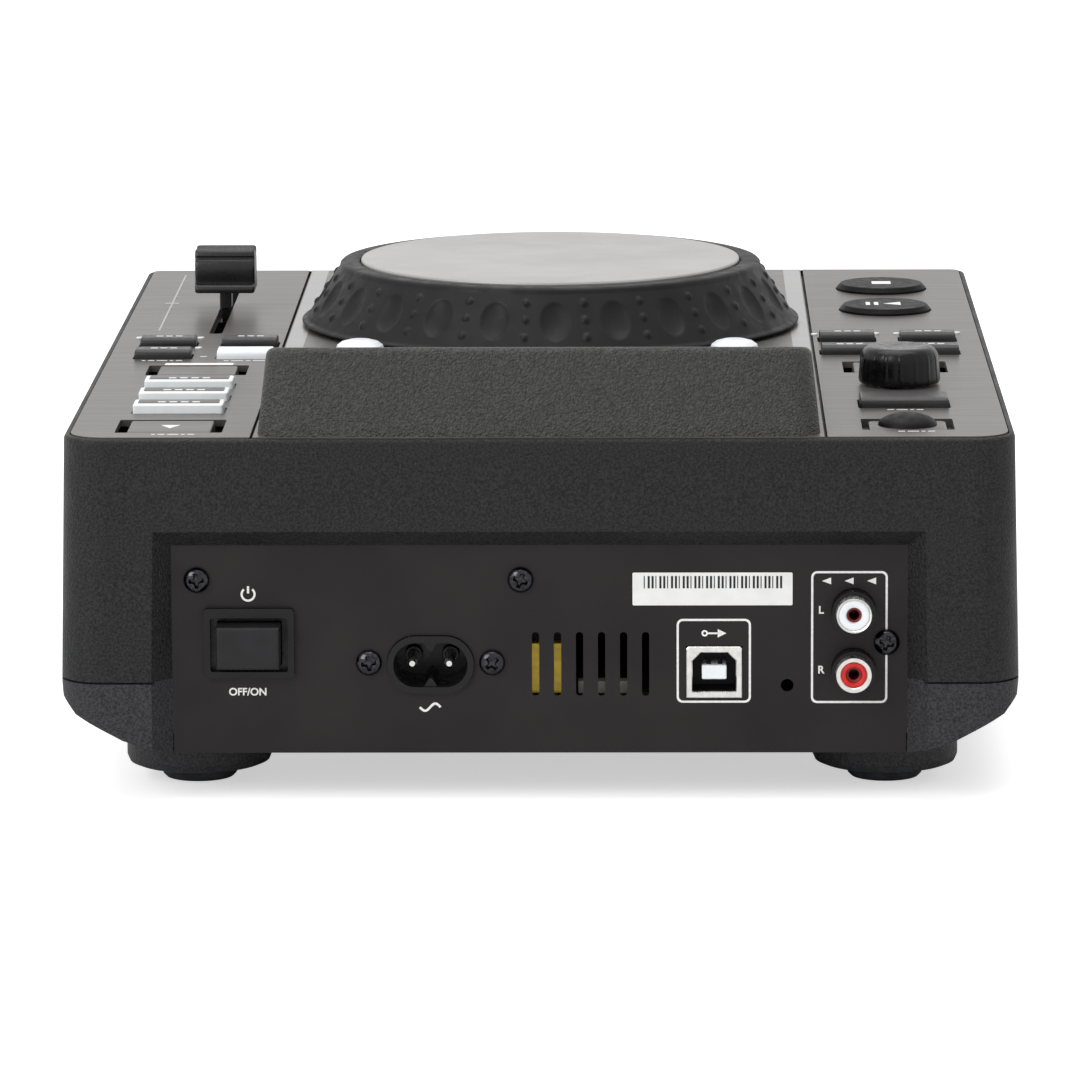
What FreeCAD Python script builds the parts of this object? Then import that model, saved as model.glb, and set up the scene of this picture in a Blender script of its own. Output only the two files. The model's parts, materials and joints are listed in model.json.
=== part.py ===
import FreeCAD, Part
import os
import re

import Sketcher

# Tabletop disc player: origin at the middle of the ground under the case, +Z up.
# The person who plays it sits at -Y; the sockets are on the +Y face.

SIZES = {
    # case
    "case_width": 220, "case_depth": 282, "deck_height": 86, "seam_height": 29, "floor_height": 11.3,
    "draft": 1.2, "wall": 2.5, "rear_wall": 4, "corner_radius": 10, "front_corner": 4, "rim_round": 1,
    "rim_drop": 0.3,
    "seam_reveal": 0.5, "seam_step": 1.2,
    # bevelled underside, seen from behind: its corners from the case's half width, and their heights
    "bevel_top_out": 0.7, "bevel_top_z": 24.7, "bevel_round_in": 2.4, "bevel_round_z": 21.1,
    "bevel_mid_in": 13.4, "bevel_mid_z": 15.2, "bevel_low_in": 24.7,
    # deck plates
    "plate_thick": 1.6, "plate_inset": 1.6, "plate_seam_x": 66.2, "plate_seam_gap": 0.7,
    "well_side_x": 67.2, "well_margin": 5.5, "well_end": 7,
    # raised display housing
    "housing_foot_half": 65, "housing_top_half": 62.8, "housing_rise": 20.2, "housing_lean": 5,
    "housing_length": 107, "housing_lip": 1.5, "housing_corner": 6,
    "housing_edge": 1.8, "window_half": 50, "window_start": 17, "window_length": 68, "window_thick": 2.2,
    "module_half": 54, "module_thick": 6, "housing_well_half": 58,
    # rear recess and sheet panel
    "recess_margin": 24.8, "recess_top_z": 60.3, "recess_flare": 3.5, "panel_thick": 1.2, "panel_lap": 4,
    "panel_fit": 0.1, "panel_low_z": 16,
    # jog wheel
    "jog_y": -43, "jog_radius": 63.5, "jog_lift": 0.7, "jog_lip": 1.5, "jog_rim_radius": 53,
    "jog_rim_rise": 16.2, "jog_disc_radius": 48.3, "jog_disc_rise": 16.9, "jog_disc_thick": 1.3,
    "jog_shaft_radius": 3.95, "jog_hub_wall": 4.05, "bearing_wall": 5, "bearing_rise": 4,
    "bearing_drop": 16, "bearing_flange": 6, "code_disc_radius": 18, "code_disc_drop": 22,
    # tempo fader
    "fader_x": 84.6, "fader_middle_y": -77, "fader_rest": 9, "fader_slot": 3.3,
    "fader_slot_length": 108, "fader_body_width": 10, "fader_body_end": 2.5, "fader_body_drop": 14,
    "fader_cap_width": 15.4, "fader_cap_lift": 4.9, "fader_cap_rise": 16.1, "fader_neck": 4.1,
    "fader_neck_lift": 0.6,
    # browse knob
    "knob_x": -85.7, "knob_y": 61, "knob_radius": 10, "knob_lift": 0.6, "knob_rise": 9.3,
    "knob_face_radius": 8.2, "encoder_shaft_radius": 2.95, "encoder_body": 12,
    # keys
    "key_gap": 0.3, "key_round": 0.6, "flange_thick": 1, "flange_lap": 0.9,
    "stem_half": 2, "board_drop": 10, "board_thick": 1.6, "switch_size": 6, "switch_height": 3.5,
    "plunger_height": 0.8, "plunger_radius": 1.7, "press_gap": 0.7,
    # top USB socket and its cover
    "usb_x": -85.5, "usb_y": 121.9, "usb_recess_width": 21.4, "usb_recess_depth": 15.8, "usb_cover_sunk": 0.1,
    # rear sockets and switch
    "switch_x": 67.25, "switch_z": 37.4, "switch_width": 20.9, "switch_height_z": 16.4,
    "button_width": 14.7, "button_height": 10, "button_proud": 5, "button_drop": 0.3,
    "inlet_x": 25.25, "inlet_z": 32.2, "inlet_width": 20.1, "inlet_height": 13.6, "pin_pitch": 8.6,
    "pin_radius": 1.15, "inlet_screw_half": 14.3,
    "usb_b_x": -40.5, "usb_b_z": 30.35, "usb_b_width": 12.9, "usb_b_height": 12.1,
    "phono_x": -72.7, "phono_upper_z": 45, "phono_lower_z": 31, "phono_boss_radius": 5,
    "phono_radius": 4.15, "phono_proud": 8, "vent_first_x": 0.9, "vent_pitch": 5.1, "vent_width": 1.7,
    "vent_low_z": 24.7, "vent_high_z": 39.8, "reset_x": -57.4, "reset_z": 27.2,
    # screws
    "screw_head_radius": 3, "screw_head_height": 2, "screw_radius": 1.5, "screw_length": 8,
    "screw_post": 5, "case_screw_x": 66, "case_screw_rear_y": 22, "case_screw_front_y": -131,
    "case_screw_seat_z": 26.5, "case_post_radius": 3.6, "case_post_wide": 5.6,
    "panel_screw_high_z": 52.2, "panel_screw_side_x": 12.05, "panel_screw_mid_x": 4.3,
    "panel_screw_phono_x": 7.7, "panel_screw_low_z": 37.4, "inlet_screw_up": 0.5,
    # feet
    "foot_side": 29, "foot_end": 33, "foot_radius": 17.15, "foot_low_z": 3.5, "foot_round": 2,
    "pad_radius": 8.75, "pad_sunk": 1,
    # boards
    "main_board_z": 24.2, "board_rear_gap": 5.8, "stand_off_radius": 3, "right_board_front_y": -14,
    "left_board_front_y": -118, "main_board_left_x": -84, "main_board_right_x": -31, "main_board_depth": 90,
    "power_board_left_x": -28, "power_board_right_x": 80, "power_board_depth": 70,
    # transformer behind the vents
    "transformer_x": -0.1, "transformer_gap": 1.2, "winding_width": 12.8, "winding_depth": 18,
    "winding_height": 11.8, "winding_lift": 0.7, "core_width": 16.8, "core_depth": 10, "core_height": 16,
    # disc drive
    "disc_plane_z": 52, "slot_half": 62, "slot_height": 4.6, "spindle_back": 64, "drive_half": 64,
    "drive_set_back": 17, "drive_length": 131.6, "drive_floor_z": 36.8, "drive_sheet": 1.2,
    "drive_wall_top_z": 58, "drive_post_in": 6, "roller_back": 6, "roller_z": 46.5, "roller_radius": 4.5,
    "roller_half": 60,
    "axle_radius": 1.5, "running_fit": 0.05, "rod_x": 14, "rod_z": 42, "sled_back": 88, "sled_length": 14,
    "screw_shaft_x": 23, "tab_back": 78, "hub_radius": 11, "hub_nose_radius": 7.4, "hub_tip_radius": 6.2,
    "motor_radius": 12.5, "motor_height": 7.5, "sled_motor_radius": 6, "sled_motor_length": 12,
}

# Heights and places that follow from those sizes
FOLLOWING = {
    "bevel_top_x": "case_width / 2 + bevel_top_out", "bevel_round_x": "case_width / 2 - bevel_round_in",
    "bevel_mid_x": "case_width / 2 - bevel_mid_in", "bevel_low_x": "case_width / 2 - bevel_low_in",
    "well_outer_x": "case_width / 2 - well_margin", "well_rear_y": "case_depth / 2 - well_end",
    "well_front_y": "well_end - case_depth / 2", "housing_rear_y": "case_depth / 2 - plate_inset",
    "housing_ridge_y": "housing_rear_y - housing_lean", "housing_front_y": "housing_ridge_y - housing_length",
    "housing_top_z": "deck_height + housing_rise", "housing_lip_z": "deck_height + housing_lip",
    "window_front_y": "housing_front_y + window_start", "window_rear_y": "window_front_y + window_length",
    "recess_half": "case_width / 2 - recess_margin", "jog_rim_z": "deck_height + jog_rim_rise",
    "jog_disc_z": "deck_height + jog_disc_rise", "jog_hub_radius": "jog_shaft_radius + jog_hub_wall",
    "bearing_radius": "jog_shaft_radius + running_fit + bearing_wall",
    "bearing_flange_radius": "bearing_radius + bearing_flange", "bearing_top_z": "deck_height + bearing_rise",
    "bearing_low_z": "deck_height - bearing_drop", "code_disc_z": "deck_height - code_disc_drop",
    "fader_body_length": "fader_slot_length + 2 * fader_body_end",
    "fader_body_low_z": "deck_height - fader_body_drop", "fader_cap_low_z": "deck_height + fader_cap_lift",
    "fader_cap_top_z": "deck_height + fader_cap_rise", "knob_low_z": "deck_height + knob_lift",
    "knob_top_z": "deck_height + knob_rise", "board_top_z": "deck_height - board_drop",
    "usb_cover_top": "deck_height - usb_cover_sunk", "foot_x": "case_width / 2 - foot_side",
    "foot_y": "case_depth / 2 - foot_end",
    "board_rear_y": "case_depth / 2 - rear_wall - panel_thick - board_rear_gap",
    "drive_front_y": "drive_set_back - case_depth / 2", "drive_rear_y": "drive_front_y + drive_length",
    "spindle_y": "drive_front_y + spindle_back", "roller_y": "drive_front_y + roller_back",
    "sled_y": "drive_front_y + sled_back", "tab_front_y": "drive_front_y + tab_back",
    "tab_rear_y": "drive_rear_y - drive_sheet",
}

# Keys and buttons of the deck: side of the deck, middle x and y, width, depth, height over the plate and
# the aperture's extra width and depth round a flush key. A width of zero marks a round button and its
# depth is then the diameter.
KEYS = {
    "eject_key": ("right", 85.75, 123.2, 19.5, 16.5, 0, 2.4, 0.8),
    "white_key_rear": ("right", 85.4, 100.2, 21.6, 8.4, 2.2, 0, 0),
    "white_key_middle": ("right", 85.4, 81.7, 21.6, 8.4, 2.2, 0, 0),
    "white_key_front": ("right", 85.4, 63.3, 21.6, 8.4, 2.2, 0, 0),
    "flush_key_right": ("right", 85.2, 37.75, 19.2, 14.1, 0, 2.4, 0.5),
    "bar_key_right_rear_outer": ("right", 95.1, 15.6, 14.2, 7.7, 2.2, 0, 0),
    "bar_key_right_rear_inner": ("right", 74.7, 15.6, 14.2, 7.7, 2.2, 0, 0),
    "bar_key_right_front_outer": ("right", 95.1, -4.4, 14.2, 7.7, 2.2, 0, 0),
    "bar_key_right_front_inner": ("right", 74.7, -4.4, 14.2, 7.7, 2.2, 0, 0),
    "back_key": ("left", -85.7, 91.6, 21.2, 12.2, 2.2, 0, 0),
    "flush_key_left": ("left", -85.5, 34.2, 20.4, 15.6, 0, 2.2, 0.8),
    "bar_key_left_rear_inner": ("left", -75, 10.4, 14.2, 7.5, 2.2, 0, 0),
    "bar_key_left_rear_outer": ("left", -95.2, 10.4, 14.2, 7.5, 2.2, 0, 0),
    "bar_key_left_front_inner": ("left", -75, -11.2, 14.2, 7.5, 2.2, 0, 0),
    "bar_key_left_front_outer": ("left", -95.2, -11.2, 14.2, 7.5, 2.2, 0, 0),
    "play_button": ("left", -86.3, -63.6, 0, 23.4, 1.6, 0, 0),
    "cue_button": ("left", -86.5, -102.3, 0, 23.4, 1.6, 0, 0),
    "round_button_right": ("centre", 46.5, 10.5, 0, 12.2, 3.6, 0, 0),
    "round_button_left": ("centre", -46.5, 10.5, 0, 12.2, 3.6, 0, 0),
}
KEY_FIELDS = ("x", "y", "width", "depth", "proud", "side_gap", "end_gap")

doc = FreeCAD.newDocument("DiscPlayer")
sheet = doc.addObject("Spreadsheet::Sheet", "Sizes")
nodes = {}


def enter(alias, number, row):
    sheet.set(f"A{row}", alias)
    sheet.set(f"B{row}", str(number))
    sheet.setAlias(f"B{row}", alias)


entries = dict(SIZES)
for key, (_, *numbers) in KEYS.items():
    entries.update((f"{key}_{field}", number) for field, number in zip(KEY_FIELDS, numbers))
entries.update((alias, f"={expression}") for alias, expression in FOLLOWING.items())
for row, (alias, number) in enumerate(entries.items(), 1):
    enter(alias, number, row)
ALIASES = set(entries)
doc.recompute()


def named(expression):
    """The expression with each sheet alias written in full."""
    return re.sub(r"[A-Za-z_]\w*", lambda word: f"Sizes.{word[0]}" if word[0] in ALIASES else word[0],
                  str(expression))


def amount(expression):
    return float(sheet.evalExpression(named(expression)))


def bind(piece, **properties):
    for name, expression in properties.items():
        piece.setExpression(name.replace("__", "."), named(expression))


def place(piece, x=0, y=0, z=0, turn=None):
    if turn:
        piece.Placement = FreeCAD.Placement(FreeCAD.Vector(), turn)
    bind(piece, Placement__Base__x=x, Placement__Base__y=y, Placement__Base__z=z)
    return piece


ALONG = {
    "Z": None,
    "Y": FreeCAD.Rotation(FreeCAD.Vector(1, 0, 0), -90),
    "X": FreeCAD.Rotation(FreeCAD.Vector(0, 1, 0), 90),
}


def outline(body, plane, corners, offset=0):
    """A closed sketch through the corners, each held to the origin by two bound distances."""
    sketch = body.newObject("Sketcher::SketchObject", "Outline")
    origin_plane = [item for item in body.Origin.OriginFeatures if item.Role == plane][0]
    sketch.AttachmentSupport = [(origin_plane, "")]
    sketch.MapMode = "FlatFace"
    points = [(amount(across), amount(up)) for across, up in corners]
    count = len(points)
    for index, point in enumerate(points):
        ahead = points[(index + 1) % count]
        sketch.addGeometry(Part.LineSegment(FreeCAD.Vector(*point, 0), FreeCAD.Vector(*ahead, 0)))
    for index in range(count):
        sketch.addConstraint(Sketcher.Constraint("Coincident", index, 2, (index + 1) % count, 1))
    for index, (corner, point) in enumerate(zip(corners, points)):
        for kind, expression, number in zip(("DistanceX", "DistanceY"), corner, point):
            held = sketch.addConstraint(Sketcher.Constraint(kind, -1, 1, index, 1, number))
            sketch.setExpression(f"Constraints[{held}]", named(expression))
    # the XZ plane looks along -Y, so its offset changes sign
    sign = "-" if plane == "XZ_Plane" else ""
    bind(sketch, AttachmentOffset__Base__z=f"{sign}({offset})")
    return sketch


def rectangle(left, right, low, high):
    return [(left, low), (right, low), (right, high), (left, high)]


def centred(middle, width, other_middle, depth):
    return rectangle(f"{middle} - ({width}) / 2", f"{middle} + ({width}) / 2",
                     f"{other_middle} - ({depth}) / 2", f"{other_middle} + ({depth}) / 2")


def along_pad(edge, direction):
    if len(edge.Vertexes) < 2:
        return False
    span = edge.Vertexes[1].Point - edge.Vertexes[0].Point
    return span.Length > 1e-6 and abs(span.normalize().dot(direction)) > 0.999


def soften(body, feature, kind, size, chosen):
    """A PartDesign fillet or chamfer on the edges that the test chooses."""
    doc.recompute()
    names = [f"Edge{number}" for number, edge in enumerate(feature.Shape.Edges, 1) if chosen(edge)]
    softened = body.newObject(f"PartDesign::{kind}", kind)
    softened.Base = (feature, names)
    bind(softened, **{"Radius" if kind == "Fillet" else "Size": size})
    body.Tip = softened
    return softened


NORMAL = {
    "XY_Plane": FreeCAD.Vector(0, 0, 1),
    "XZ_Plane": FreeCAD.Vector(0, 1, 0),
    "YZ_Plane": FreeCAD.Vector(1, 0, 0),
}


def pad(body, plane, corners, start, length):
    feature = body.newObject("PartDesign::Pad", "Pad")
    feature.Profile = outline(body, plane, corners, start)
    feature.Reversed = plane == "XZ_Plane"
    bind(feature, Length=length)
    body.Tip = feature
    return feature


def prism(name, plane, corners, start, length, corner_round=None):
    """A body padded from an outline on an origin plane, its long edges rounded if asked."""
    body = doc.addObject("PartDesign::Body", name)
    feature = pad(body, plane, corners, start, length)
    if corner_round:
        soften(body, feature, "Fillet", corner_round, lambda edge: along_pad(edge, NORMAL[plane]))
    return body


def round_corners(body, feature, inset, limit=0):
    """Rounds upright edges beyond the limit in x as the case's corners are, sharper at the front."""
    for radius, rear in ((f"corner_radius - {inset}", True), (f"front_corner - {inset}", False)):
        feature = soften(body, feature, "Fillet", radius,
                         lambda edge: along_pad(edge, NORMAL["XY_Plane"])
                         and (edge.CenterOfMass.y > 0) == rear and abs(edge.CenterOfMass.x) > limit)
    return feature


def case_plan(name, half_x, half_y, inset, start, length):
    """A prism with the case's outline, brought in by the inset."""
    body = doc.addObject("PartDesign::Body", name)
    feature = pad(body, "XY_Plane", rectangle(f"-{half_x}", half_x, f"-{half_y}", half_y), start, length)
    round_corners(body, feature, inset)
    return body


def turned(name, profile, x=0, y=0, z=0, axis="Z"):
    """A body turned about its own axis from a half profile of radius and height."""
    body = doc.addObject("PartDesign::Body", name)
    sketch = outline(body, "XZ_Plane", profile)
    feature = body.newObject("PartDesign::Revolution", "Turned")
    feature.Profile = sketch
    feature.ReferenceAxis = (sketch, ["V_Axis"])
    feature.Angle = 360
    body.Tip = feature
    return place(body, x, y, z, ALONG[axis])


def box(name, x0, x1, y0, y1, z0, z1):
    piece = doc.addObject("Part::Box", name)
    bind(piece, Length=f"({x1}) - ({x0})", Width=f"({y1}) - ({y0})", Height=f"({z1}) - ({z0})")
    return place(piece, x0, y0, z0)


def rod(name, radius, length, x=0, y=0, z=0, axis="Z"):
    piece = doc.addObject("Part::Cylinder", name)
    bind(piece, Radius=radius, Height=length)
    return place(piece, x, y, z, ALONG[axis])


def join(name, pieces):
    fused = doc.addObject("Part::MultiFuse", name)
    fused.Shapes = pieces
    return fused


def cut(name, base, tools):
    result = doc.addObject("Part::Cut", name)
    result.Base = base
    result.Tool = tools[0] if len(tools) == 1 else join(f"{name}_tools", tools)
    return result


def common(name, first, second):
    result = doc.addObject("Part::Common", name)
    result.Base = first
    result.Tool = second
    return result


def gather(name, pieces):
    compound = doc.addObject("Part::Compound", name)
    compound.Links = pieces
    return compound


def node(name, piece):
    piece.Label = name
    nodes[name] = piece
    return piece


def mirrored_x(corners):
    """The corners and their mirror images, so a right half profile closes on its left."""
    return corners + [(f"-({across})", up) for across, up in reversed(corners)]


# Heights and places that follow from the sizes
ROOF_TOP = "(deck_height - plate_thick)"
ROOF_LOW = "(deck_height - plate_thick - wall)"
SHELL_TOP = "(deck_height - rim_drop)"
PLATE_X = "(case_width / 2 - plate_inset)"
PLATE_Y = "(case_depth / 2 - plate_inset)"
SEAM_X = "(case_width / 2 + draft)"
SEAM_Y = "(case_depth / 2 + draft)"
WALL_Y = "(case_depth / 2 - rear_wall)"
PANEL_Y = f"({WALL_Y} - panel_thick)"
CAVITY_X = "(case_width / 2 - wall)"
CAVITY_Y = "(case_depth / 2 - wall)"
FLOOR_TOP = "(floor_height + wall)"


def recess_tool(name):
    """The rear opening with its flared edge, open at the bottom."""
    tool = doc.addObject("Part::Wedge", name)
    far = "(rear_wall + draft + 1)"
    flare = f"(recess_flare * {far} / rear_wall)"
    bind(tool, Xmin="-recess_half", Xmax="recess_half", Ymin=WALL_Y, Ymax=f"{WALL_Y} + {far}",
         Zmin=0, Zmax="recess_top_z", X2min=f"-recess_half - {flare}", X2max=f"recess_half + {flare}",
         Z2min=0, Z2max=f"recess_top_z + {flare}")
    return tool


# Top shell
def top_shell():
    body = doc.addObject("Part::Wedge", "top_outer")
    bind(body, Xmin=f"-{SEAM_X}", Xmax=SEAM_X, Zmin=f"-{SEAM_Y}", Zmax=SEAM_Y, Ymin=0,
         Ymax=f"{SHELL_TOP} - seam_height", X2min="-case_width / 2", X2max="case_width / 2",
         Z2min="-case_depth / 2", Z2max="case_depth / 2")
    place(body, 0, 0, "seam_height", FreeCAD.Rotation(FreeCAD.Vector(1, 0, 0), 90))
    doc.recompute()
    top = amount(SHELL_TOP)
    rounds = []
    for number, edge in enumerate(body.Shape.Edges, 1):
        if edge.BoundBox.ZLength > 1:
            radius = amount("corner_radius" if edge.CenterOfMass.y > 0 else "front_corner")
            rounds.append((number, radius, radius))
        elif edge.BoundBox.ZMin > top - 1e-3:
            rounds.append((number, amount("rim_round"), amount("rim_round")))
    outer = doc.addObject("Part::Fillet", "top_rounded")
    outer.Base = body
    outer.Edges = rounds
    plates = case_plan("plate_bed", f"({PLATE_X} + key_gap)", f"({PLATE_Y} + key_gap)",
                       "(plate_inset - key_gap)", ROOF_TOP, "wall")
    cavity = box("top_cavity", f"-{CAVITY_X}", CAVITY_X, f"-{CAVITY_Y}", WALL_Y, "seam_height - 1", ROOF_LOW)
    wells = [
        box("right_well", "well_side_x", "well_outer_x", "well_front_y", "well_rear_y",
            f"{ROOF_LOW} - 1", f"{ROOF_TOP} + 1"),
        box("left_well", "-well_outer_x", "-well_side_x", "well_front_y", "well_rear_y",
            f"{ROOF_LOW} - 1", f"{ROOF_TOP} + 1"),
        box("housing_well", "-housing_well_half", "housing_well_half", "housing_front_y + 7",
            "housing_rear_y - 11", f"{ROOF_LOW} - 1", f"{ROOF_TOP} + 1"),
        rod("bearing_hole", "bearing_radius + 0.2", "2 * wall", 0, "jog_y", f"{ROOF_LOW} - 1"),
    ]
    for side in ("right", "left"):
        key = f"round_button_{side}"
        wells.append(rod(f"{key}_well", f"{key}_depth / 2 + flange_lap + 2 * key_gap", "2 * wall",
                         f"{key}_x", f"{key}_y", f"{ROOF_LOW} - 1"))
    slot = box("disc_slot", "-slot_half", "slot_half", f"-{SEAM_Y} - 1", f"-{CAVITY_Y} + 1",
               "disc_plane_z - slot_height / 2", "disc_plane_z + slot_height / 2")
    shell = cut("top_open", outer, [plates, cavity, slot, recess_tool("top_recess")] + wells)
    posts = []
    for number, (x, z) in enumerate(PANEL_SCREWS):
        posts.append(box(f"panel_post_{number}", f"{x} - screw_post / 2", f"{x} + screw_post / 2",
                         f"{PANEL_Y} - screw_post", PANEL_Y, f"{z} - screw_post", ROOF_LOW))
    for x in ("-case_screw_x", "case_screw_x"):
        for y in ("case_screw_rear_y", "case_screw_front_y"):
            posts.append(rod("case_column", "case_post_radius", f"{ROOF_LOW} - seam_height", x, y,
                             "seam_height"))
    for sign in ("", "-"):
        for y in ("right_board_front_y + 2", 52, "board_rear_y - 8"):
            middle = f"{sign}(well_side_x - 2.7)"
            posts.append(box("board_post", f"{middle} - 1.6", f"{middle} + 1.6",
                             f"{y} - 1.5", f"{y} + 1.5", "board_top_z", ROOF_LOW))
    posts.append(box("jog_board_post", -3, 3, "case_screw_rear_y - 8", "case_screw_rear_y - 4",
                     "board_top_z", ROOF_LOW))
    holes = panel_screw_holes("screw_radius")
    for x in ("-case_screw_x", "case_screw_x"):
        for y in ("case_screw_rear_y", "case_screw_front_y"):
            holes.append(rod("column_hole", "screw_radius", "screw_length", x, y, "seam_height - 0.01"))
    node("top_shell", cut("top_shell", join("top_with_posts", [shell] + posts), holes))


PANEL_SCREWS = (("switch_x + panel_screw_side_x", "panel_screw_high_z"),
                ("panel_screw_mid_x", "panel_screw_high_z"),
                ("phono_x - panel_screw_phono_x", "panel_screw_low_z"))
INLET_SCREWS = (("inlet_x + inlet_screw_half", "inlet_z + inlet_screw_up"),
                ("inlet_x - inlet_screw_half", "inlet_z + inlet_screw_up"))


def panel_screw_holes(radius, places=PANEL_SCREWS):
    """Holes along Y at the panel screws, from inside the posts out through the panel."""
    return [rod("screw_hole", radius, "screw_length + panel_thick", x, f"{WALL_Y} - screw_length", z, "Y")
            for x, z in places]


# Bottom shell
BEVEL = [("bevel_low_x", "floor_height"), ("bevel_mid_x", "bevel_mid_z"),
         ("bevel_round_x", "bevel_round_z"), ("bevel_top_x", "bevel_top_z")]


def bevelled_prism(name):
    corners = mirrored_x(BEVEL + [(SEAM_X, "seam_height - seam_reveal")])
    return prism(name, "XZ_Plane", corners, f"-{SEAM_Y}", f"2 * {SEAM_Y}")


def bottom_shell():
    plan = case_plan("bottom_plan", SEAM_X, SEAM_Y, "0", "floor_height",
                     "seam_height - seam_reveal - floor_height")
    outer = common("bottom_outer", bevelled_prism("bottom_profile"), plan)
    lip = case_plan("bottom_lip", f"({SEAM_X} - seam_step)", f"({SEAM_Y} - seam_step)", "seam_step",
                    "bevel_top_z", "seam_height - bevel_top_z")
    inside = mirrored_x([("bevel_low_x - 0.6", FLOOR_TOP), ("bevel_mid_x - 0.9", "bevel_mid_z + 2.3"),
                         ("bevel_round_x - 2", "bevel_round_z + 1.8"), (CAVITY_X, "bevel_top_z + 0.8"),
                         (CAVITY_X, "seam_height + 1")])
    cavity = prism("bottom_cavity", "XZ_Plane", inside, f"-{CAVITY_Y}", f"{CAVITY_Y} + {WALL_Y}")
    panel_gap = box("panel_gap", "-recess_half", "recess_half", f"{PANEL_Y} - 0.2", f"{WALL_Y} + 1", 0,
                    "panel_low_z")
    shell = cut("bottom_open", join("bottom_blank", [outer, lip]),
                [cavity, recess_tool("bottom_recess"), panel_gap])
    posts = []
    for x in ("drive_post_in - drive_half", "drive_half - drive_post_in"):
        for y in ("drive_front_y + 14", "drive_rear_y - 13"):
            posts.append(rod("drive_post", "stand_off_radius", f"drive_floor_z - {FLOOR_TOP}", x, y,
                             FLOOR_TOP))
    board_low = "main_board_z - board_thick"
    for name in ("main_board", "power_board"):
        for x in (f"{name}_left_x + 2 * stand_off_radius", f"{name}_right_x - 2 * stand_off_radius"):
            for y in (f"board_rear_y - {name}_depth + 3 * stand_off_radius",
                      "board_rear_y - 4 * stand_off_radius"):
                posts.append(rod("board_post", "stand_off_radius", f"{board_low} - {FLOOR_TOP}", x, y,
                                 FLOOR_TOP))
    bores = []
    for x in ("-case_screw_x", "case_screw_x"):
        for y in ("case_screw_rear_y", "case_screw_front_y"):
            posts.append(rod("screw_tube", "case_post_wide", "seam_height - floor_height - 1", x, y,
                             "floor_height + 1"))
            bores.append(rod("screw_well", "screw_head_radius + 0.4", "case_screw_seat_z", x, y, 0))
            bores.append(rod("screw_pass", "screw_radius + 0.2", "seam_height", x, y, 1))
    node("bottom_shell", cut("bottom_shell", join("bottom_with_posts", [shell] + posts), bores))


# Deck plates
def apertures(side):
    """Openings in one deck plate, each a clearance larger than its key."""
    tools = []
    for key, (own_side, _, _, width, *_) in KEYS.items():
        if own_side != side:
            continue
        if width:
            wide = f"{key}_width + 2 * key_gap + 2 * {key}_side_gap"
            deep = f"{key}_depth + 2 * key_gap + 2 * {key}_end_gap"
            tools.append(prism(f"{key}_aperture", "XY_Plane", centred(f"{key}_x", wide, f"{key}_y", deep),
                               f"{ROOF_TOP} - 1", "plate_thick + 2", "key_round"))
        else:
            tools.append(rod(f"{key}_aperture", f"{key}_depth / 2 + key_gap", "plate_thick + 2",
                             f"{key}_x", f"{key}_y", f"{ROOF_TOP} - 1"))
    return tools


def side_plate(name, side, left, right, tools):
    """A deck plate whose outer corners are rounded with the case."""
    body = doc.addObject("PartDesign::Body", f"{name}_blank")
    feature = pad(body, "XY_Plane", rectangle(left, right, f"-{PLATE_Y}", PLATE_Y), ROOF_TOP, "plate_thick")
    round_corners(body, feature, "plate_inset", amount(PLATE_X) - 1)
    node(name, cut(name, body, apertures(side) + tools))


def deck_plates():
    inner = "plate_seam_x + plate_seam_gap / 2"
    slot = prism("fader_slot_tool", "XY_Plane",
                 centred("fader_x", "fader_slot", "fader_middle_y", "fader_slot_length"),
                 f"{ROOF_TOP} - 1", "plate_thick + 2", "fader_slot / 2 - 0.05")
    side_plate("right_deck_plate", "right", inner, PLATE_X, [slot])
    knob_hole = rod("knob_hole", "encoder_shaft_radius + 0.75", "plate_thick + 2", "knob_x", "knob_y",
                    f"{ROOF_TOP} - 1")
    usb_hole = prism("usb_aperture", "XY_Plane",
                     centred("usb_x", "usb_recess_width", "usb_y", "usb_recess_depth"),
                     f"{ROOF_TOP} - 1", "plate_thick + 2", "key_round")
    side_plate("left_deck_plate", "left", f"-{PLATE_X}", f"-({inner})", [knob_hole, usb_hole])
    half = "plate_seam_x - plate_seam_gap / 2"
    blank = box("centre_blank", f"-({half})", half, f"-{PLATE_Y}", PLATE_Y, ROOF_TOP, "deck_height")
    window = box("centre_window", "-housing_well_half", "housing_well_half", "housing_front_y + 7",
                 "housing_rear_y - 11", f"{ROOF_TOP} - 1", "deck_height + 1")
    hole = rod("centre_hole", "bearing_radius + 0.4", "plate_thick + 2", 0, "jog_y", f"{ROOF_TOP} - 1")
    node("centre_plate", cut("centre_plate", blank, apertures("centre") + [window, hole]))


# Raised display housing, window and module
SLOPE = "((housing_top_z - housing_lip_z) / (housing_ridge_y - housing_front_y))"


def slope_z(y, drop=0):
    return f"housing_lip_z + {SLOPE} * (({y}) - housing_front_y) - ({drop})"


def sloping_slab(name, half, front, rear, drop, thick):
    """A slab that lies parallel to the sloping face, its top a set drop below it."""
    corners = [(front, slope_z(front, f"{drop} + {thick}")), (rear, slope_z(rear, f"{drop} + {thick}")),
               (rear, slope_z(rear, drop)), (front, slope_z(front, drop))]
    return prism(name, "YZ_Plane", corners, f"-({half})", f"2 * ({half})")


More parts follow.
